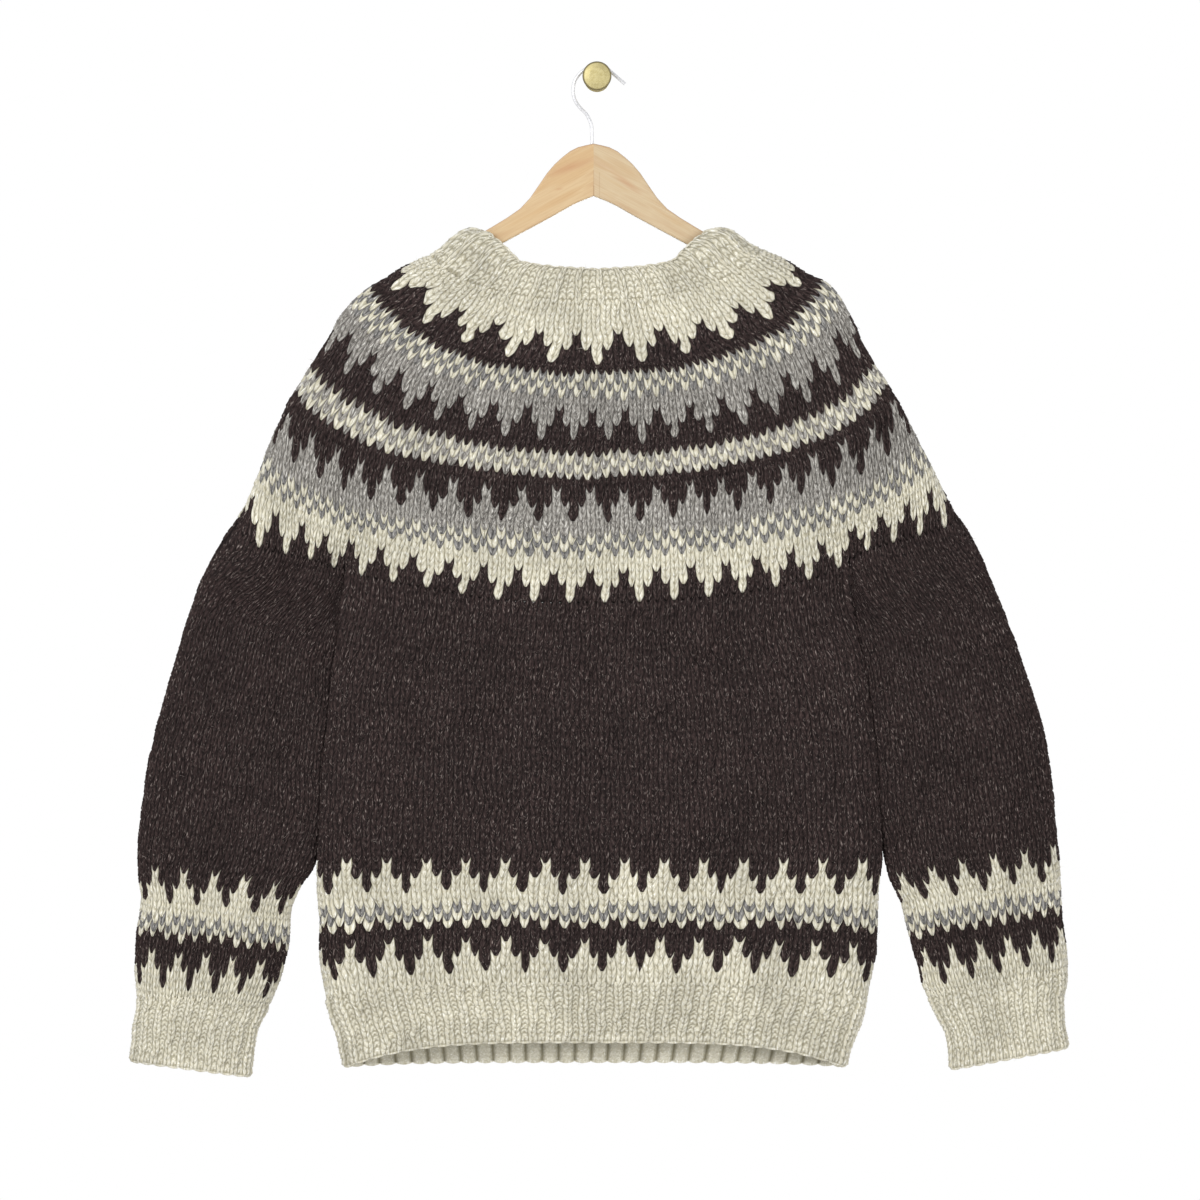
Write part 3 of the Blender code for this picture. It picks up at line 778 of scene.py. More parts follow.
def form_fields(faces, end, places, first, last):
    """Points, outward directions, and travel of one stitch and one row, of a tube's outer face.

    Rows past either end of the faces' table, which runs from 0 to end, carry its slope on.
    """
    first = first - FORM_ROWS_ABOVE
    points = []
    for row in np.arange(first, last + FORM_ROWS_BELOW + FORM_STEP / 2, FORM_STEP):
        at = min(max(row, 0.0), end)
        ring = round_points(faces(at), places(at))
        if at != row:
            inner = FORM_STEP if at == 0 else end - FORM_STEP
            near = round_points(faces(inner), places(inner))
            ring = ring + (near - ring) * (row - at) / (inner - at)
        points.append(ring)
    points = np.array(points)
    points[:, -1] = points[:, 0]
    side = np.sign(points[..., 1] - mid_y(points[..., 2]))
    points[..., 2] += ride_up(points)
    points[..., 1] += side * crease(points, side)
    out, across, down = directions(points)
    return {"first": first, "point": points, "out": out, "across": across, "down": down}


def directions(points):
    """Unit outward direction, and one stitch's and one row's travel, of a closed grid of points."""
    ring = points[:, :-1]
    across = (np.roll(ring, -1, axis=1) - np.roll(ring, 1, axis=1)) * STITCH_COLUMNS / 2
    down = np.gradient(ring, FORM_STEP, axis=0)
    out = unit(np.cross(down, across))
    return (np.concatenate((a, a[:, :1]), axis=1) for a in (out, across, down))


def knit_tube(name, node, slot, stitches, first, last, faces, table_rows, places, chart, **options):
    """Makes one knitted tube as a closed shell with every stitch in relief.

    Options: tip is a stitch at the tip of a point of the chart; rib is (knit, purl) stitches; tuck
    adds a level row above the first, tucked behind the tube above, which has another number of
    stitches; free is a "top" or "bottom" edge that is free; inside_step is the rows between the
    lines of points inside it; cut is its width all round, its length and its area, flat, in metres;
    hangs_from is what holds it up, and is not used.
    """
    rib = options.get("rib")
    free = options.get("free")
    above = 1 if options.get("tuck") else 0
    rng = np.random.default_rng(options["seed"])
    rows = last - first
    steps = np.arange(stitches * STITCH_COLUMNS + 1) / STITCH_COLUMNS
    # In a rib of single stitches, the knit ones stand wide and the purl ones close up between them.
    spread = RIB_SPREAD * np.sin(math.pi * (steps - 0.5)) if rib == (1, 1) else 0.0
    form = form_fields(faces, table_rows, places(steps + spread), first, last)
    line_numbers = np.arange(-above * ROW_LINES, rows * ROW_LINES + 1)
    lines = line_numbers / ROW_LINES
    u, v = np.meshgrid(steps, lines)

    # Rows lean up beside each stitch's point, but lie level along a tuck and along a free edge.
    kind, knit = stitch_columns(stitches, rib)
    fade = np.ones(v.shape)
    if above:
        fade = np.clip(v + 1, 0, 1)
    if free == "top":
        fade = np.clip(v, 0, 1)
    if free == "bottom":
        fade = fade * np.clip(rows - v, 0, 1)
    at_rows = first + v - stitch_values("lean", kind, knit)[None, :] * fade

    # Relief of the yarns and of the ribs, with the unevenness of hand knitting.
    line_relief = np.array([stitch_values(line, kind, knit) for line in ("top", "upper", "lower")])
    relief = line_relief[line_numbers % ROW_LINES]
    level = 0.0
    deep = 1.0
    if rib:
        level = 1 - 2 * smooth((from_knit(u, rib) - RIB_EVEN * rib[0]) / (RIB_FALL * rib[0]))
        deep = min(options["cut"][0] / MM / stitches / RIB_FULL_WIDTH, 1.0)
    # A neckband's ribs run out level at its foot, so that it meets the yoke without a step.
    if free == "top":
        level = level * (1 - smooth((v - rows + BLEND_ROWS) / BLEND_ROWS))
    loose = smooth(np.minimum(v + above, rows - v) / LOOSE_ROWS)
    plump = 1 + PLUMP_VARIES * loose * soft_noise(rng, rows, stitches, v, u, PLUMP_CELL)
    height = (-VALLEY + (CREST + VALLEY) * relief * plump + RIB_HEIGHT * level) * deep
    height += SWELL * loose * soft_noise(rng, rows, stitches, v, u, SWELL_CELL)
    if above:
        height -= TUCK_DEPTH * (1 - smooth((v + 1) / TUCK_ROWS))
    outer = sample(form, "point", at_rows) + sample(form, "out", at_rows) * height[..., None]
    for cell, *amounts in WANDER[1:]:
        for way, amount in zip(("across", "down"), amounts):
            moved = amount * loose * soft_noise(rng, rows, stitches, v, u, cell)
            outer += sample(form, way, at_rows) * moved[..., None]

    # Down the outside, round the lower edge, up the inside, round the upper edge.
    spacing = options.get("inside_step", INSIDE_STEP)
    inner_lines, inner, inner_loft = inside_wall(form, first, rows, u[0], rib, deep, spacing)
    parts = [(outer, relief, lines)]
    if free == "bottom":
        edge = edge_round(form, float(last), u[0], height[-1], 1)
        parts.append((edge, np.full(edge.shape[:2], EDGE_LOFT), np.full(len(edge), rows - EDGE_ROW)))
    parts.append((inner, inner_loft, inner_lines))
    if free == "top":
        edge = edge_round(form, float(first), u[0], height[0], -1)[::-1]
        parts.append((edge, np.full(edge.shape[:2], EDGE_LOFT), np.full(len(edge), EDGE_ROW)))
    parts.append((outer[:1], relief[:1], lines[:1]))
    grid, loft, count = (np.concatenate(part) for part in zip(*parts))
    yarns = chart_yarns(chart, rows, stitches, options.get("tip", 0))
    obj = grid_object(name, grid, loft, count, yarns, knit, rng)
    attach(obj, "root")
    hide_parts(node)
    return obj


def inside_wall(form, first, rows, steps, rib, deep, spacing):
    """Lines of points up the inside of the cloth, from its lower edge to its upper one."""
    lines = np.linspace(rows, 0, max(int(round(rows / spacing)), 2) + 1)
    u, v = np.meshgrid(steps, lines)
    depth = np.full(u.shape, THICKNESS)
    # Inside, loft sets the painted shade: a little all over, and on a rib the most in its grooves and the
    # least on its bumps.
    loft = np.full(u.shape, INSIDE_LOFT)
    if rib:
        groove = np.exp(-((from_knit(u, rib) / INSIDE_GROOVE) ** 2))
        arch = INSIDE_BUMP_ARCH * np.cos(2 * math.pi * u)
        bump = np.abs(np.sin(math.pi * (v + arch))) ** INSIDE_BUMP_POWER
        inward = INSIDE_RIB * (1 - 2 * groove) + INSIDE_BUMP * bump * (1 - groove)
        depth = depth + inward * deep
        loft = (INSIDE_RIB_LOFT + INSIDE_BUMP_LOFT * bump) * (1 - groove)
    outer = sample(form, "point", first + v)
    return lines, outer - sample(form, "out", first + v) * depth[..., None], loft


def edge_round(form, row, steps, height, way):
    """Lines of points round a free edge, from the outside to the inside; way is 1 down or -1 up."""
    at_rows = np.full((1, len(steps)), row)
    point, out, down = (sample(form, name, at_rows)[0] for name in ("point", "out", "down"))
    down = unit(down) * way
    wave = np.abs(np.sin(math.pi * (steps - 0.5) / 2)) ** EDGE_LOBE_POWER
    lobe = EDGE_LOBE_LEAST + EDGE_LOBE * wave
    lines = []
    for angle in EDGE_STEPS:
        inward = THICKNESS * (1 - math.cos(angle)) / 2
        bulge = THICKNESS / 2 * math.sin(angle) * lobe
        from_face = (1 + math.cos(angle)) / 2 * height
        lines.append(point + out * (from_face - inward)[:, None] + down * bulge[:, None])
    return np.array(lines)


def add_object(name, data):
    obj = bpy.data.objects.new(name, data)
    bpy.context.scene.collection.objects.link(obj)
    return obj


def read(items, name, width=1, kind=float):
    """A property of all items, in rows if it has more than one value."""
    values = np.empty(len(items) * width, kind)
    items.foreach_get(name, values)
    return values.reshape(-1, width) if width > 1 else values


def grid_object(name, grid, loft, count, yarns, knit, rng):
    """A mesh from a grid of points in millimetres, closed both ways, with its yarns and maps."""
    down, around = grid.shape[0] - 1, grid.shape[1] - 1
    rows, stitches = yarns.shape
    bm = bmesh.new()
    bmesh.ops.create_grid(bm, x_segments=around, y_segments=down, size=1.0)
    mesh = bpy.data.meshes.new(name)
    bm.to_mesh(mesh)
    bm.free()
    flat = read(mesh.vertices, "co", 3)
    i = np.rint((flat[:, 0] + 1) / 2 * around).astype(int)
    j = np.rint((1 - flat[:, 1]) / 2 * down).astype(int)
    mesh.vertices.foreach_set("co", (grid[j, i] * MM).ravel())

    corners = read(mesh.loops, "vertex_index", kind=int).reshape(-1, 4)
    ci = i[corners]
    cj = j[corners]
    fi = ci.min(axis=1)
    fj = cj.min(axis=1)
    stitch = fi // STITCH_COLUMNS
    below = count[np.minimum(fj + 1, down)]
    row = np.clip(np.floor((count[fj] + below) / 2).astype(int), 0, rows - 1)
    mesh.polygons.foreach_set("material_index", yarns[row, stitch])
    mesh.polygons.foreach_set("use_smooth", np.ones(len(fi), bool))

    # One map is the whole grid. The other is in millimetres across and along the yarn of each leg,
    # shifted so that no two legs are alike. A leg's yarn runs down the stitch, and a purl's across it.
    spread = 1 - 2 * BAKE_MARGIN
    baked = (BAKE_MARGIN + ci / around * spread, 1 - BAKE_MARGIN - cj / down * spread)
    leg = fi * 2 // STITCH_COLUMNS
    across = (ci / (STITCH_COLUMNS / 2) - leg[:, None]) * HALF_STITCH
    across = np.where((leg % 2)[:, None] == 0, HALF_STITCH - across, across)
    along = (count[cj] - row[:, None]) * ROW_HEIGHT
    is_purl = ~knit[stitch * STITCH_COLUMNS + 1][:, None]
    across, along = np.where(is_purl, along, across), np.where(is_purl, across, along)
    shifts = (rng.random((rows, stitches * 2, 2)) * STRAND_SHIFT)[row, leg]
    strand = (across + shifts[:, None, 0], along + shifts[:, None, 1])
    for key, places in (("OFBake", baked), ("Strand", strand)):
        mesh.uv_layers.new(name=key).data.foreach_set("uv", np.stack(places, axis=-1).ravel())
    mesh.uv_layers.active = mesh.uv_layers["OFBake"]
    mesh.uv_layers["OFBake"].active_render = True

    tone = rng.normal(0.0, 1.0, (rows, stitches)) * STITCH_TONE + rng.normal(0.0, 1.0, (rows, 1)) * ROW_TONE
    # Loft sets the painted shade: outside it is how high the yarn stands, so shade is painted deep between
    # the yarns.
    for key, kind, domain, values in (
        ("tone", "FLOAT", "CORNER", np.repeat(tone[row, stitch], 4).astype(np.float32)),
        ("outside", "BOOLEAN", "FACE", count[fj] <= below),
        ("loft", "FLOAT", "POINT", loft[j, i].astype(np.float32)),
    ):
        mesh.attributes.new(key, kind, domain).data.foreach_set("value", values)

    bm = bmesh.new()
    bm.from_mesh(mesh)
    bmesh.ops.remove_doubles(bm, verts=bm.verts, dist=WELD)
    outwards(bm)
    bm.to_mesh(mesh)
    bm.free()
    for wool_material in WOOLS:
        mesh.materials.append(wool_material)
    return add_object(name, mesh)


def outwards(bm):
    """Turns a closed shell the right way out."""
    if bm.calc_volume(signed=True) < 0:
        bmesh.ops.reverse_faces(bm, faces=bm.faces)


# ---- Materials. Sizes in them are in metres, and in millimetres on the strands' map.

STRAND_LEAN = math.radians(16.0)
BOARD_SLOPE = math.radians(28.0)
SEAM_X = -0.003


def linear(code):
    """Linear colour, with alpha, from an sRGB hex code."""
    parts = [int(code[k:k + 2], 16) / 255 for k in (1, 3, 5)]
    return (*((c / 12.92 if c <= 0.04045 else ((c + 0.055) / 1.055) ** 2.4) for c in parts), 1.0)


def set_node(tree, node, settings=None, links=None):
    """Sets a node's properties and inputs, and links outputs to its inputs.

    A hex code is a colour, and stops are the positions and colours of a ramp.
    """
    for name, value in (settings or {}).items():
        if isinstance(value, str) and value[0] == "#":
            value = linear(value)
        if name == "stops":
            elements = node.color_ramp.elements
            while len(elements) < len(value):
                elements.new(0.5)
            for element, (position, code) in zip(elements, value):
                element.position = position
                element.color = linear(code)
        elif isinstance(name, str) and hasattr(node, name):
            setattr(node, name, value)
        else:
            node.inputs[name].default_value = value
    for name, output in (links or {}).items():
        tree.links.new(output, node.inputs[name])


def add_node(tree, kind, settings=None, links=None):
    """Adds a shader node with its settings and links, and gives its outputs."""
    node = tree.nodes.new("ShaderNode" + kind)
    set_node(tree, node, settings, links)
    return node.outputs


def new_material(name):
    material = bpy.data.materials.new(name)
    material.use_nodes = True
    tree = material.node_tree
    return material, tree, tree.nodes["Principled BSDF"]


def strands(tree, strand, across, along, detail):
    """Noise drawn out along the yarn, with cells of the given size in millimetres."""
    lie = {"vector_type": "TEXTURE", "Rotation": (0.0, 0.0, STRAND_LEAN), "Scale": (across, along, 1.0)}
    turned = add_node(tree, "Mapping", lie, {"Vector": strand["UV"]})["Vector"]
    noise = {"noise_dimensions": "2D", "Scale": 1.0, "Detail": detail, "Roughness": 0.6}
    return add_node(tree, "TexNoise", noise, {"Vector": turned})["Fac"]


def wool(name, hole_shade, shades, fleck, fleck_from, sheen):
    """Undyed Icelandic wool, spun loose: soft, fuzzy and dull, its fibres lying along the yarn.

    The first colour is painted shade, deep between the yarns; shades are those of the mixed fibres
    from dark to pale, and fleck is that of the odd coarse fibre, shown where its noise passes fleck_from.
    """
    material, tree, shader = new_material(name)
    place = add_node(tree, "TexCoord")["Object"]
    strand = add_node(tree, "UVMap", {"uv_map": "Strand"})
    # Bundles of fibre, 0.9 mm across and 5 mm long: coarser than real fibre, so that they show.
    fibres = strands(tree, strand, 0.9, 5.0, 3.0)
    # Heather: paler and darker wool carded together, in patches about 3 mm across.
    patch = {"Scale": 330.0, "Detail": 2.0, "Roughness": 0.6}
    patches = add_node(tree, "TexNoise", patch, {"Vector": place})
    blend = add_node(tree, "Mix", {0: 0.35}, {2: fibres, 3: patches["Fac"]})[0]
    mixed = add_node(tree, "ValToRGB", {"stops": [*zip((0.36, 0.5, 0.64), shades)]}, {"Fac": blend})
    # Coarse pale fibres, 0.8 mm across and 3.5 mm long, here and there.
    coarse = strands(tree, strand, 0.8, 3.5, 1.0)
    chance = ((fleck_from, "#000000"), (fleck_from + 0.09, "#FFFFFF"))
    chosen = add_node(tree, "ValToRGB", {"stops": chance}, {"Fac": coarse})
    flecked = add_node(
        tree, "Mix", {"data_type": "RGBA", 7: fleck}, {0: chosen["Color"], 6: mixed["Color"]}
    )
    # Painted shade: where the loft is low, deep between the yarns, the colour is mixed towards the shade
    # colour.
    loft = add_node(tree, "Attribute", {"attribute_name": "loft"})["Fac"]
    fall = {"From Min": 0.0, "From Max": 0.55, "To Min": 1.0, "To Max": 0.0}
    depth = add_node(tree, "MapRange", fall, {"Value": loft})["Result"]
    shaded = add_node(tree, "Mix", {"data_type": "RGBA", 7: hole_shade}, {0: depth, 6: flecked[2]})
    # Each stitch and each row is a little lighter or darker, and so are broad patches of the cloth.
    clouds = add_node(tree, "TexNoise", {"Scale": 22.0, "Detail": 3.0, "Roughness": 0.6}, {"Vector": place})
    tone = add_node(tree, "Attribute", {"attribute_name": "tone"})["Fac"]
    share = {"operation": "MULTIPLY_ADD", 1: 0.05}
    broad = add_node(tree, "Math", share, {0: tone, 2: clouds["Fac"]})["Value"]
    lift = {"From Min": 0.2, "From Max": 0.8, "To Min": 0.8, "To Max": 1.2}
    value = add_node(tree, "MapRange", lift, {"Value": broad})["Result"]
    toned = add_node(tree, "HueSaturation", links={"Value": value, "Color": shaded[2]})
    relief = add_node(tree, "Bump", {"Strength": 0.6, "Distance": 0.0005}, {"Height": blend})
    look = {"Roughness": 0.92, "Specular IOR Level": 0.25}
    look.update({"Sheen Weight": 0.2, "Sheen Roughness": 0.45, "Sheen Tint": sheen})
    links = {"Base Color": toned["Color"], "Normal": relief["Normal"]}
    set_node(tree, shader, look, links)
    return material


# The first colour of each wool is painted shade, for deep between its yarns.
WOOLS = (
    wool("Cream wool", "#827C66", ("#BDB69E", "#D3CEBB", "#E6E3D6"), "#F6F5EE", 0.62, "#F4F2E8"),
    wool("Dark brown wool", "#0D0808", ("#1A1212", "#2D2221", "#463937"), "#857A75", 0.66, "#6A5C58"),
    wool("Light gray wool", "#45423F", ("#68645F", "#8F8B85", "#BDBAB4"), "#E2E0DA", 0.62, "#D8D4CE"),
    wool("Medium gray wool", "#303031", ("#595958", "#7B7977", "#A09E9B"), "#C9C7C4", 0.64, "#B8B8B8"),
)


def mottled(name, noise, stops, look):
    """A material in a few shades that follow one noise; also gives its parts for more to be added."""
    material, tree, shader = new_material(name)
    place = add_node(tree, "TexCoord")["Object"]
    mixed = add_node(tree, "TexNoise", noise, {"Vector": place})["Fac"]
    shades = add_node(tree, "ValToRGB", {"stops": stops}, {"Fac": mixed})["Color"]
    set_node(tree, shader, look, {"Base Color": shades})
    return material, tree, shader, place, mixed, shades


def stray_wool(name, base, light):
    """Fibres that stand off the cloth: the wool's own colour, paler where the light comes through."""
    look = {"Roughness": 0.8, "Specular IOR Level": 0.3}
    return mottled(name, {"Scale": 160.0, "Detail": 1.0}, ((0.4, base), (0.65, light)), look)[0]


def plated_wire():
    """Bright zinc-plated steel wire: very pale, with faint drawing marks along it."""
    look = {"Metallic": 0.55, "Roughness": 0.45}
    stops = ((0.35, "#D2D3D6"), (0.6, "#EDEDF0"))
    return mottled("Zinc-plated steel wire", {"Scale": 600.0, "Detail": 2.0}, stops, look)[0]


def brushed_brass():
    """Turned brass knob, lacquered: a pale mottled face, and a darker rim and neck."""
    noise = {"Scale": 420.0, "Detail": 3.0, "Roughness": 0.7}
    stops = ((0.35, "#B4A878"), (0.5, "#BCB183"), (0.66, "#C4BA8D"))
    look = {"Metallic": 1.0, "Roughness": 0.55}
    material, tree, shader, place, mottle, face = mottled("Brushed brass", noise, stops, look)
    parts = add_node(tree, "SeparateXYZ", links={"Vector": place})
    flat = add_node(tree, "CombineXYZ", links={"X": parts["X"], "Z": parts["Z"]})["Vector"]
    radius = add_node(tree, "VectorMath", {"operation": "LENGTH"}, {0: flat})["Value"]
    # From 11.4 to 12.4 mm out from the Y axis the colour is mixed towards a darker olive brass.
    rim = add_node(tree, "MapRange", {"From Min": 0.0114, "From Max": 0.0124}, {"Value": radius})
    darker_rim = {"data_type": "RGBA", 7: "#857A58"}
    with_rim = add_node(tree, "Mix", darker_rim, {0: rim["Result"], 6: face})
    relief = add_node(tree, "Bump", {"Strength": 0.15, "Distance": 0.0002}, {"Height": mottle})
    set_node(tree, shader, {}, {"Base Color": with_rim[2], "Normal": relief["Normal"]})
    return material


def lacquered_beech():
    """Beech board in two halves, glued at the middle, under satin lacquer: warm, with faint grain.

    The grain runs along each arm. The left half is more golden and has a darker brown figure.
    """
    material, tree, shader = new_material("Lacquered beech")
    place = add_node(tree, "TexCoord")
    parts = add_node(tree, "SeparateXYZ", links={"Vector": place["Object"]})
    from_seam = add_node(tree, "Math", {"operation": "SUBTRACT", 1: SEAM_X}, {0: parts["X"]})[0]
    along = add_node(tree, "Math", {"operation": "ABSOLUTE"}, {0: from_seam})[0]
    side = add_node(tree, "Math", {"operation": "GREATER_THAN", 1: 0.0}, {0: from_seam})[0]
    apart = add_node(tree, "Math", {"operation": "ADD"}, {0: parts["Y"], 1: side})[0]
    folded = add_node(tree, "CombineXYZ", links={"X": along, "Y": apart, "Z": parts["Z"]})
    grains = []
    # Fine grain 1 mm across and 45 mm long, and broad figure 9 mm across.
    for length, across, detail in ((0.045, 0.001, 3.0), (0.075, 0.009, 2.0)):
        lie = {"vector_type": "TEXTURE", "Rotation": (0.0, BOARD_SLOPE, 0.0)}
        lie["Scale"] = (length, across * 2, across)
        laid = add_node(tree, "Mapping", lie, {"Vector": folded["Vector"]})["Vector"]
        noise = {"Scale": 1.0, "Detail": detail, "Distortion": 0.4}
        grains.append(add_node(tree, "TexNoise", noise, {"Vector": laid})["Fac"])
    fine, broad = grains
    halves = {"data_type": "RGBA", 6: "#CBB087", 7: "#C6B18F"}
    color = add_node(tree, "Mix", halves, {0: side})[2]
    for grain, strength, stops in (
        (broad, 0.32, ((0.35, "#E8CBA2"), (0.5, "#FFFFFF"), (0.68, "#D9B496"))),
        (fine, 0.18, ((0.38, "#D6B48C"), (0.56, "#FFFFFF"))),
    ):
        shade = add_node(tree, "ValToRGB", {"stops": stops}, {"Fac": grain})["Color"]
        multiply = {"data_type": "RGBA", "blend_type": "MULTIPLY", 0: strength}
        color = add_node(tree, "Mix", multiply, {6: color, 7: shade})[2]
    # The brown figure: centre, reach along and across, slope in degrees and strength.
    for x, z, length, across, slope, strength in (
        (-0.024, -0.0815, 0.030, 0.0055, 20.0, 0.75),
        (-0.034, -0.1010, 0.005, 0.0016, 12.0, 0.45),
        (0.026, -0.0950, 0.022, 0.0040, -38.0, 0.40),
        (0.006, -0.0800, 0.016, 0.0050, -25.0, 0.25),
    ):
        lie = {"vector_type": "TEXTURE", "Rotation": (0.0, math.radians(-slope), 0.0)}
        lie.update({"Location": (x, HANGER_Y * MM, z), "Scale": (length, 0.2, across)})
        spot = add_node(tree, "Mapping", lie, {"Vector": place["Object"]})["Vector"]
        ball = add_node(tree, "TexGradient", {"gradient_type": "SPHERICAL"}, {"Vector": spot})["Fac"]
        broken = add_node(tree, "Math", {"operation": "MULTIPLY"}, {0: ball, 1: broad})[0]
        fall = {"From Min": 0.02, "From Max": 0.45, "To Max": strength}
        amount = add_node(tree, "MapRange", fall, {"Value": broken})["Result"]
        color = add_node(tree, "Mix", {"data_type": "RGBA", 7: "#B37F58"}, {0: amount, 6: color})[2]
    # The glued seam, 1 to 1.6 mm wide with soft edges, and the side of the key let in below it.
    for x, top, width, strength in (
        (0.0, -0.084, 0.0005, 0.3),
        (0.0, -0.098, 0.0008, 0.45),
        (0.0052, -0.086, 0.0005, 0.3),
    ):
        off = add_node(tree, "Math", {"operation": "SUBTRACT", 1: x}, {0: from_seam})[0]
        near = add_node(tree, "Math", {"operation": "ABSOLUTE"}, {0: off})[0]
        fall = {"From Min": width / 2, "From Max": width, "To Min": strength, "To Max": 0.0}
        line = add_node(tree, "MapRange", fall, {"Value": near})["Result"]
        below = add_node(tree, "Math", {"operation": "LESS_THAN", 1: top}, {0: parts["Z"]})[0]
        cut = add_node(tree, "Math", {"operation": "MULTIPLY"}, {0: line, 1: below})[0]
        color = add_node(tree, "Mix", {"data_type": "RGBA", 7: "#9C7650"}, {0: cut, 6: color})[2]
    # Painted shade: faces that point upwards, along the board's top edges, are mixed towards a darker,
    # pinker brown.
    facing = add_node(tree, "SeparateXYZ", links={"Vector": place["Normal"]})["Z"]
    rise = {"From Min": 0.25, "From Max": 0.8, "To Max": 0.75}
    top_edge_shade = add_node(tree, "MapRange", rise, {"Value": facing})["Result"]
    color = add_node(tree, "Mix", {"data_type": "RGBA", 7: "#B98B70"}, {0: top_edge_shade, 6: color})[2]
    relief = add_node(tree, "Bump", {"Strength": 0.15, "Distance": 0.0002}, {"Height": fine})
    look = {"Roughness": 0.42, "Coat Weight": 0.15, "Coat Roughness": 0.25}
    set_node(tree, shader, look, {"Base Color": color, "Normal": relief["Normal"]})
    return material


for node_name, finish in (
    ("hanger_wood", lacquered_beech()),
    ("hanger_hook", plated_wire()),
    ("wall_hook", brushed_brass()),
):
    for material_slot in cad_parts[node_name].material_slots:
        material_slot.material = finish

# ---- The garment. A cut is a tube's width all round, its length and its area, flat, in metres.

knit_tube(
    "neckband_rib", "neckband", "cream_wool", NECKBAND_STITCHES, 0, NECKBAND_STITCH_ROWS,
    neckband_faces, NECKBAND_STITCH_ROWS, even_places(NECKBAND_STITCHES), PLAIN_CREAM, rib=(1, 2),
    seed=1, free="top", inside_step=0.5, cut=(0.686, 0.042, 0.0237), hangs_from="hanger_wood",
)
knit_tube(
    "yoke_top", "yoke", "patterned_wool", YOKE_TOP_STITCHES, 0, YOKE_MIDDLE_ROW, yoke_faces,
    YOKE_ROWS, even_places(YOKE_TOP_STITCHES, 0.5), YOKE_TOP_CHART, tip=21, seed=2, tuck=True,
    cut=(0.932, 0.057, 0.0457), hangs_from="hanger_wood",
)
knit_tube(
    "yoke_middle", "yoke", "patterned_wool", YOKE_MIDDLE_STITCHES, YOKE_MIDDLE_ROW, YOKE_LOWER_ROW,
    yoke_faces, YOKE_ROWS, even_places(YOKE_MIDDLE_STITCHES), YOKE_MIDDLE_CHART, tip=37, seed=3,
    tuck=True, cut=(1.204, 0.114, 0.1219), hangs_from="yoke_top",
)
knit_tube(
    "yoke_lower", "yoke", "patterned_wool", YOKE_LOWER_STITCHES, YOKE_LOWER_ROW, YOKE_ROWS,
    yoke_faces, YOKE_ROWS, yoke_lower_places, YOKE_LOWER_CHART, tip=45, seed=4, tuck=True,
    cut=(1.414, 0.11, 0.1425), hangs_from="yoke_middle",
)
body_places = fitted_places(BODY_STITCHES, body_faces, ("front", 17, 1, 59), ("back", 49, 61, 119))
knit_tube(
    "body_plain", "body", "brown_wool", BODY_STITCHES, 0, BODY_BAND_ROW, body_faces, BODY_ROWS,
    body_places, PLAIN_BROWN, seed=5, cut=(1.067, 0.247, 0.2532), hangs_from="yoke_lower",
)
knit_tube(
    "body_band", "body", "brown_wool", BODY_STITCHES, BODY_BAND_ROW, BODY_ROWS, body_faces, BODY_ROWS,
    body_places, BAND_CHART, tip=28, seed=6, cut=(1.067, 0.116, 0.1203), hangs_from="body_plain",
)
knit_tube(
    "hem_ribbing", "hem_rib", "cream_wool", HEM_STITCHES, 0, HEM_ROWS, hem_faces, HEM_ROWS,
    even_places(HEM_STITCHES), PLAIN_CREAM, rib=(1, 1), seed=7, tuck=True, free="bottom",
    inside_step=0.5, cut=(1.012, 0.052, 0.0503), hangs_from="body_band",
)
for hand, sleeve, cuff, runs, tip, seed, sleeve_cut, cuff_cut in (
    (
        "left", SLEEVE_LEFT, CUFF_LEFT, (("front", 0, 1, 17), ("back", 136, 33, 47)), 3, 8,
        (0.359, 0.414, 0.1323), (0.262, 0.059, 0.0143),
    ),
    (
        "right", SLEEVE_RIGHT, CUFF_RIGHT, (("front", 70, 7, 23), ("back", 70, 25, 39)), 2, 78,
        (0.353, 0.404, 0.1295), (0.279, 0.065, 0.0161),
    ),
):
    def sleeve_rings(row, table=sleeve):
        return sleeve_faces(table, row, 0)

    def cuff_rings(row, table=cuff):
        return sleeve_faces(table, row, SLEEVE_ROWS)

    sleeve_places = fitted_places(SLEEVE_STITCHES, sleeve_rings, *runs)
    knit_tube(
        "sleeve_knit_" + hand, "sleeve_" + hand, "brown_wool", SLEEVE_STITCHES, 0, SLEEVE_ROWS,
        sleeve_rings, SLEEVE_ROWS, sleeve_places, SLEEVE_CHART, tip=tip, seed=seed,
        cut=sleeve_cut, hangs_from="yoke_lower",
    )
    knit_tube(
        "cuff_ribbing_" + hand, "cuff_" + hand, "cream_wool", CUFF_STITCHES, 0, CUFF_ROWS,
        cuff_rings, CUFF_ROWS, even_places(CUFF_STITCHES), PLAIN_CREAM, rib=(1, 1),
        seed=seed + 1, tuck=True, free="bottom", inside_step=1.0, cut=cuff_cut,
        hangs_from="sleeve_knit_" + hand,
    )

# ---- Stray fibres: thin tapered hairs that stand off the cloth, thickest along its sides.

FIBRE_SIDES = 3
FIBRE_RADIUS = 0.15
FIBRE_LENGTH = (3.0, 8.0)
FIBRE_LIE = (0.4, 1.3)
FIBRE_CURL = (-0.6, 0.7)
FIBRE_SIDE_SHARE = 3.0


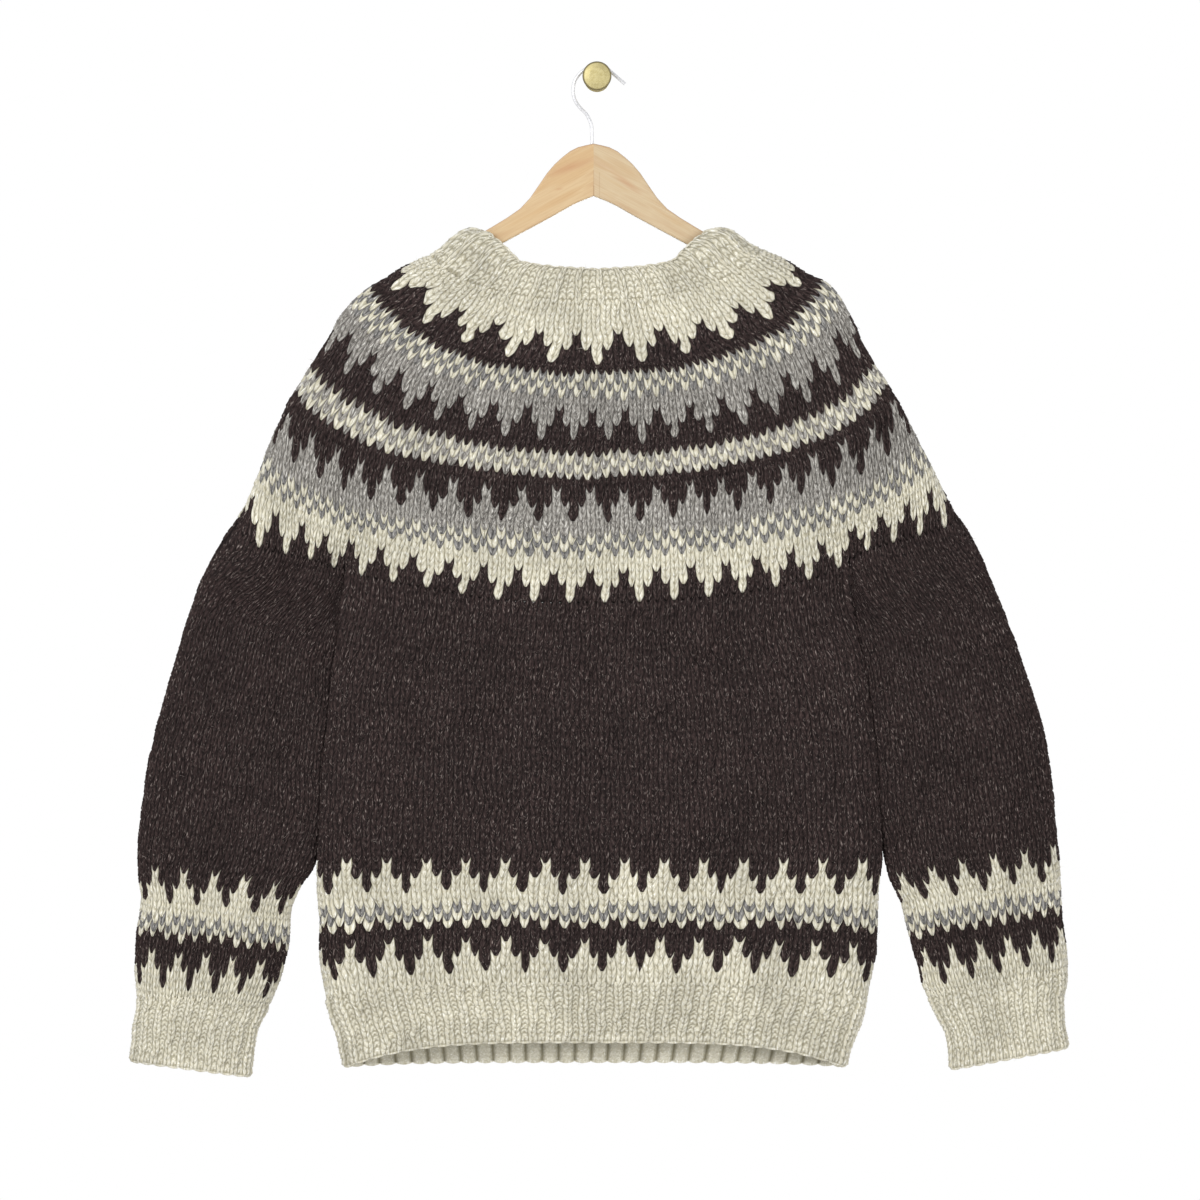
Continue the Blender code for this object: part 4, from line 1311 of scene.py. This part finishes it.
def one_fibre():
    """A three-sided cone with a bend half way, one unit long and one unit in radius."""
    bm = bmesh.new()
    made = bmesh.ops.create_cone(
        bm, cap_ends=True, segments=FIBRE_SIDES, radius1=1.0, radius2=0.0, depth=1.0
    )
    bmesh.ops.translate(bm, verts=made["verts"], vec=(0.0, 0.0, 0.5))
    bmesh.ops.remove_doubles(bm, verts=bm.verts, dist=0.00001)
    sides = [e for e in bm.edges if abs(e.verts[0].co.z - e.verts[1].co.z) > 0.5]
    bmesh.ops.subdivide_edges(bm, edges=sides, cuts=1)
    bmesh.ops.triangulate(bm, faces=bm.faces)
    bmesh.ops.recalc_face_normals(bm, faces=bm.faces)
    bm.verts.ensure_lookup_table()
    points = np.array([v.co for v in bm.verts])
    faces = np.array([[v.index for v in f.verts] for f in bm.faces])
    bm.free()
    return points, faces


def stray_fibres(name, pieces, yarns, number, material, seed):
    """Joins many fibres, rooted at random on the faces of the given yarns."""
    rng = np.random.default_rng(seed)
    parts = []
    for piece in pieces:
        faces = piece.data.polygons
        normal = read(faces, "normal", 3)
        weight = read(faces, "area") * (1 + FIBRE_SIDE_SHARE * np.abs(normal[:, 0]))
        weight *= read(piece.data.attributes["outside"].data, "value", kind=bool)
        weight *= np.isin(read(faces, "material_index", kind=int), yarns)
        parts.append((read(faces, "center", 3), normal, weight))
    centres, normals, weights = (np.concatenate(part) for part in zip(*parts))
    chosen = rng.choice(len(weights), number, p=weights / weights.sum())
    root = centres[chosen] / MM
    out = normals[chosen]
    sideways = unit(np.cross(out, rng.standard_normal((number, 3))))
    lie = rng.uniform(*FIBRE_LIE, (number, 1))
    curl = rng.uniform(*FIBRE_CURL, (number, 1))
    length = rng.uniform(*FIBRE_LENGTH, (number, 1))
    start = out * np.cos(lie) + sideways * np.sin(lie)
    end = out * np.cos(lie + curl) + sideways * np.sin(lie + curl)
    middle = root + start * length / 2
    first = unit(np.cross(start, out))
    second = np.cross(start, first)
    points, faces = one_fibre()
    along = points[:, 2]
    lower = np.clip(along * 2, 0, 1)[None, :, None]
    upper = np.clip(along * 2 - 1, 0, 1)[None, :, None]
    line = root[:, None] * (1 - lower) + middle[:, None] * lower + end[:, None] * length[:, None] / 2 * upper
    across = first[:, None] * points[None, :, :1] + second[:, None] * points[None, :, 1:2]
    shape = (line + across * FIBRE_RADIUS) * MM
    corners = faces[None] + (np.arange(number) * len(points))[:, None, None]
    mesh = bpy.data.meshes.new(name)
    mesh.from_pydata(shape.reshape(-1, 3).tolist(), [], corners.reshape(-1, 3).tolist())
    mesh.polygons.foreach_set("use_smooth", np.ones(len(mesh.polygons), bool))
    mesh.materials.append(material)
    obj = add_object(name, mesh)
    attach(obj, "root")


knits = [o for o in bpy.context.scene.objects if o.type == "MESH" and "outside" in o.data.attributes]
for kind, slot, yarns, number, base, light, seed in (
    ("cream", "cream_wool", (0,), 1500, "#DCD8C8", "#F6F4EC", 51),
    ("brown", "brown_wool", (1,), 1700, "#4A3F3B", "#A79D97", 52),
    ("gray", "patterned_wool", (2, 3), 500, "#A8A49E", "#DAD7D1", 53),
):
    finish = stray_wool("Stray " + kind + " wool", base, light)
    stray_fibres("stray_" + kind + "_fibres", knits, yarns, number, finish, seed)

# ---- Stage: a pale floor below the object, soft light and the camera.

CAMERA_X = 2.7
CAMERA_Z = -469.3
CAMERA_DISTANCE = 8000.0
FRAME_WIDTH = 1076.0
SENSOR = 36.0
FLOOR_Z = -1650.0
FLOOR_HALF = 2600.0
LIGHTS = (
    ("name", "size", "energy", "place", "target"),
    ("key", 1.6, 42.0, (-1.3, -2.4, 0.5), (0.0, 0.0, -0.55)),
    ("fill", 2.0, 22.0, (1.6, -2.4, -0.4), (0.0, 0.0, -0.6)),
    ("back", 2.0, 34.0, (0.6, 2.6, 0.2), (0.0, 0.0, -0.5)),
)


def add_floor():
    bm = bmesh.new()
    bmesh.ops.create_grid(bm, x_segments=1, y_segments=1, size=FLOOR_HALF * MM)
    bmesh.ops.translate(bm, verts=bm.verts, vec=(0.0, 0.0, FLOOR_Z * MM))
    mesh = bpy.data.meshes.new("floor")
    bm.to_mesh(mesh)
    bm.free()
    material, tree, shader = new_material("Pale painted floor")
    set_node(tree, shader, {"Base Color": "#E6E5E2", "Roughness": 0.8})
    mesh.materials.append(material)
    add_object("floor", mesh)


def add_lights():
    for name, size, energy, place, target in LIGHTS[1:]:
        data = bpy.data.lights.new(name, "AREA")
        data.shape = "DISK"
        data.size = size
        data.energy = energy
        light = add_object(name, data)
        light.location = place
        x, y, z = np.array(target) - np.array(place)
        light.rotation_euler = (math.atan2(math.hypot(x, y), -z), 0.0, math.atan2(-x, y))


def add_world():
    world = bpy.data.worlds.new("Studio white")
    world.use_nodes = True
    tree = world.node_tree
    tree.nodes.clear()
    seen = add_node(tree, "Background", {"Color": "#FFFFFF", "Strength": 1.0})[0]
    lit = add_node(tree, "Background", {"Color": "#FFFFFF", "Strength": 0.6})[0]
    camera_ray = add_node(tree, "LightPath")["Is Camera Ray"]
    both = add_node(tree, "MixShader", links={0: camera_ray, 1: lit, 2: seen})[0]
    add_node(tree, "OutputWorld", links={"Surface": both})
    bpy.context.scene.world = world


def add_camera():
    data = bpy.data.cameras.new("camera")
    data.sensor_width = SENSOR
    data.lens = SENSOR * CAMERA_DISTANCE / FRAME_WIDTH
    camera = add_object("camera", data)
    camera.location = (CAMERA_X * MM, (HANGER_Y - CAMERA_DISTANCE) * MM, CAMERA_Z * MM)
    camera.rotation_euler = (math.pi / 2, 0.0, 0.0)
    bpy.context.scene.camera = camera


add_floor()
add_world()
add_lights()
add_camera()
bpy.context.scene.view_settings.view_transform = "Standard"
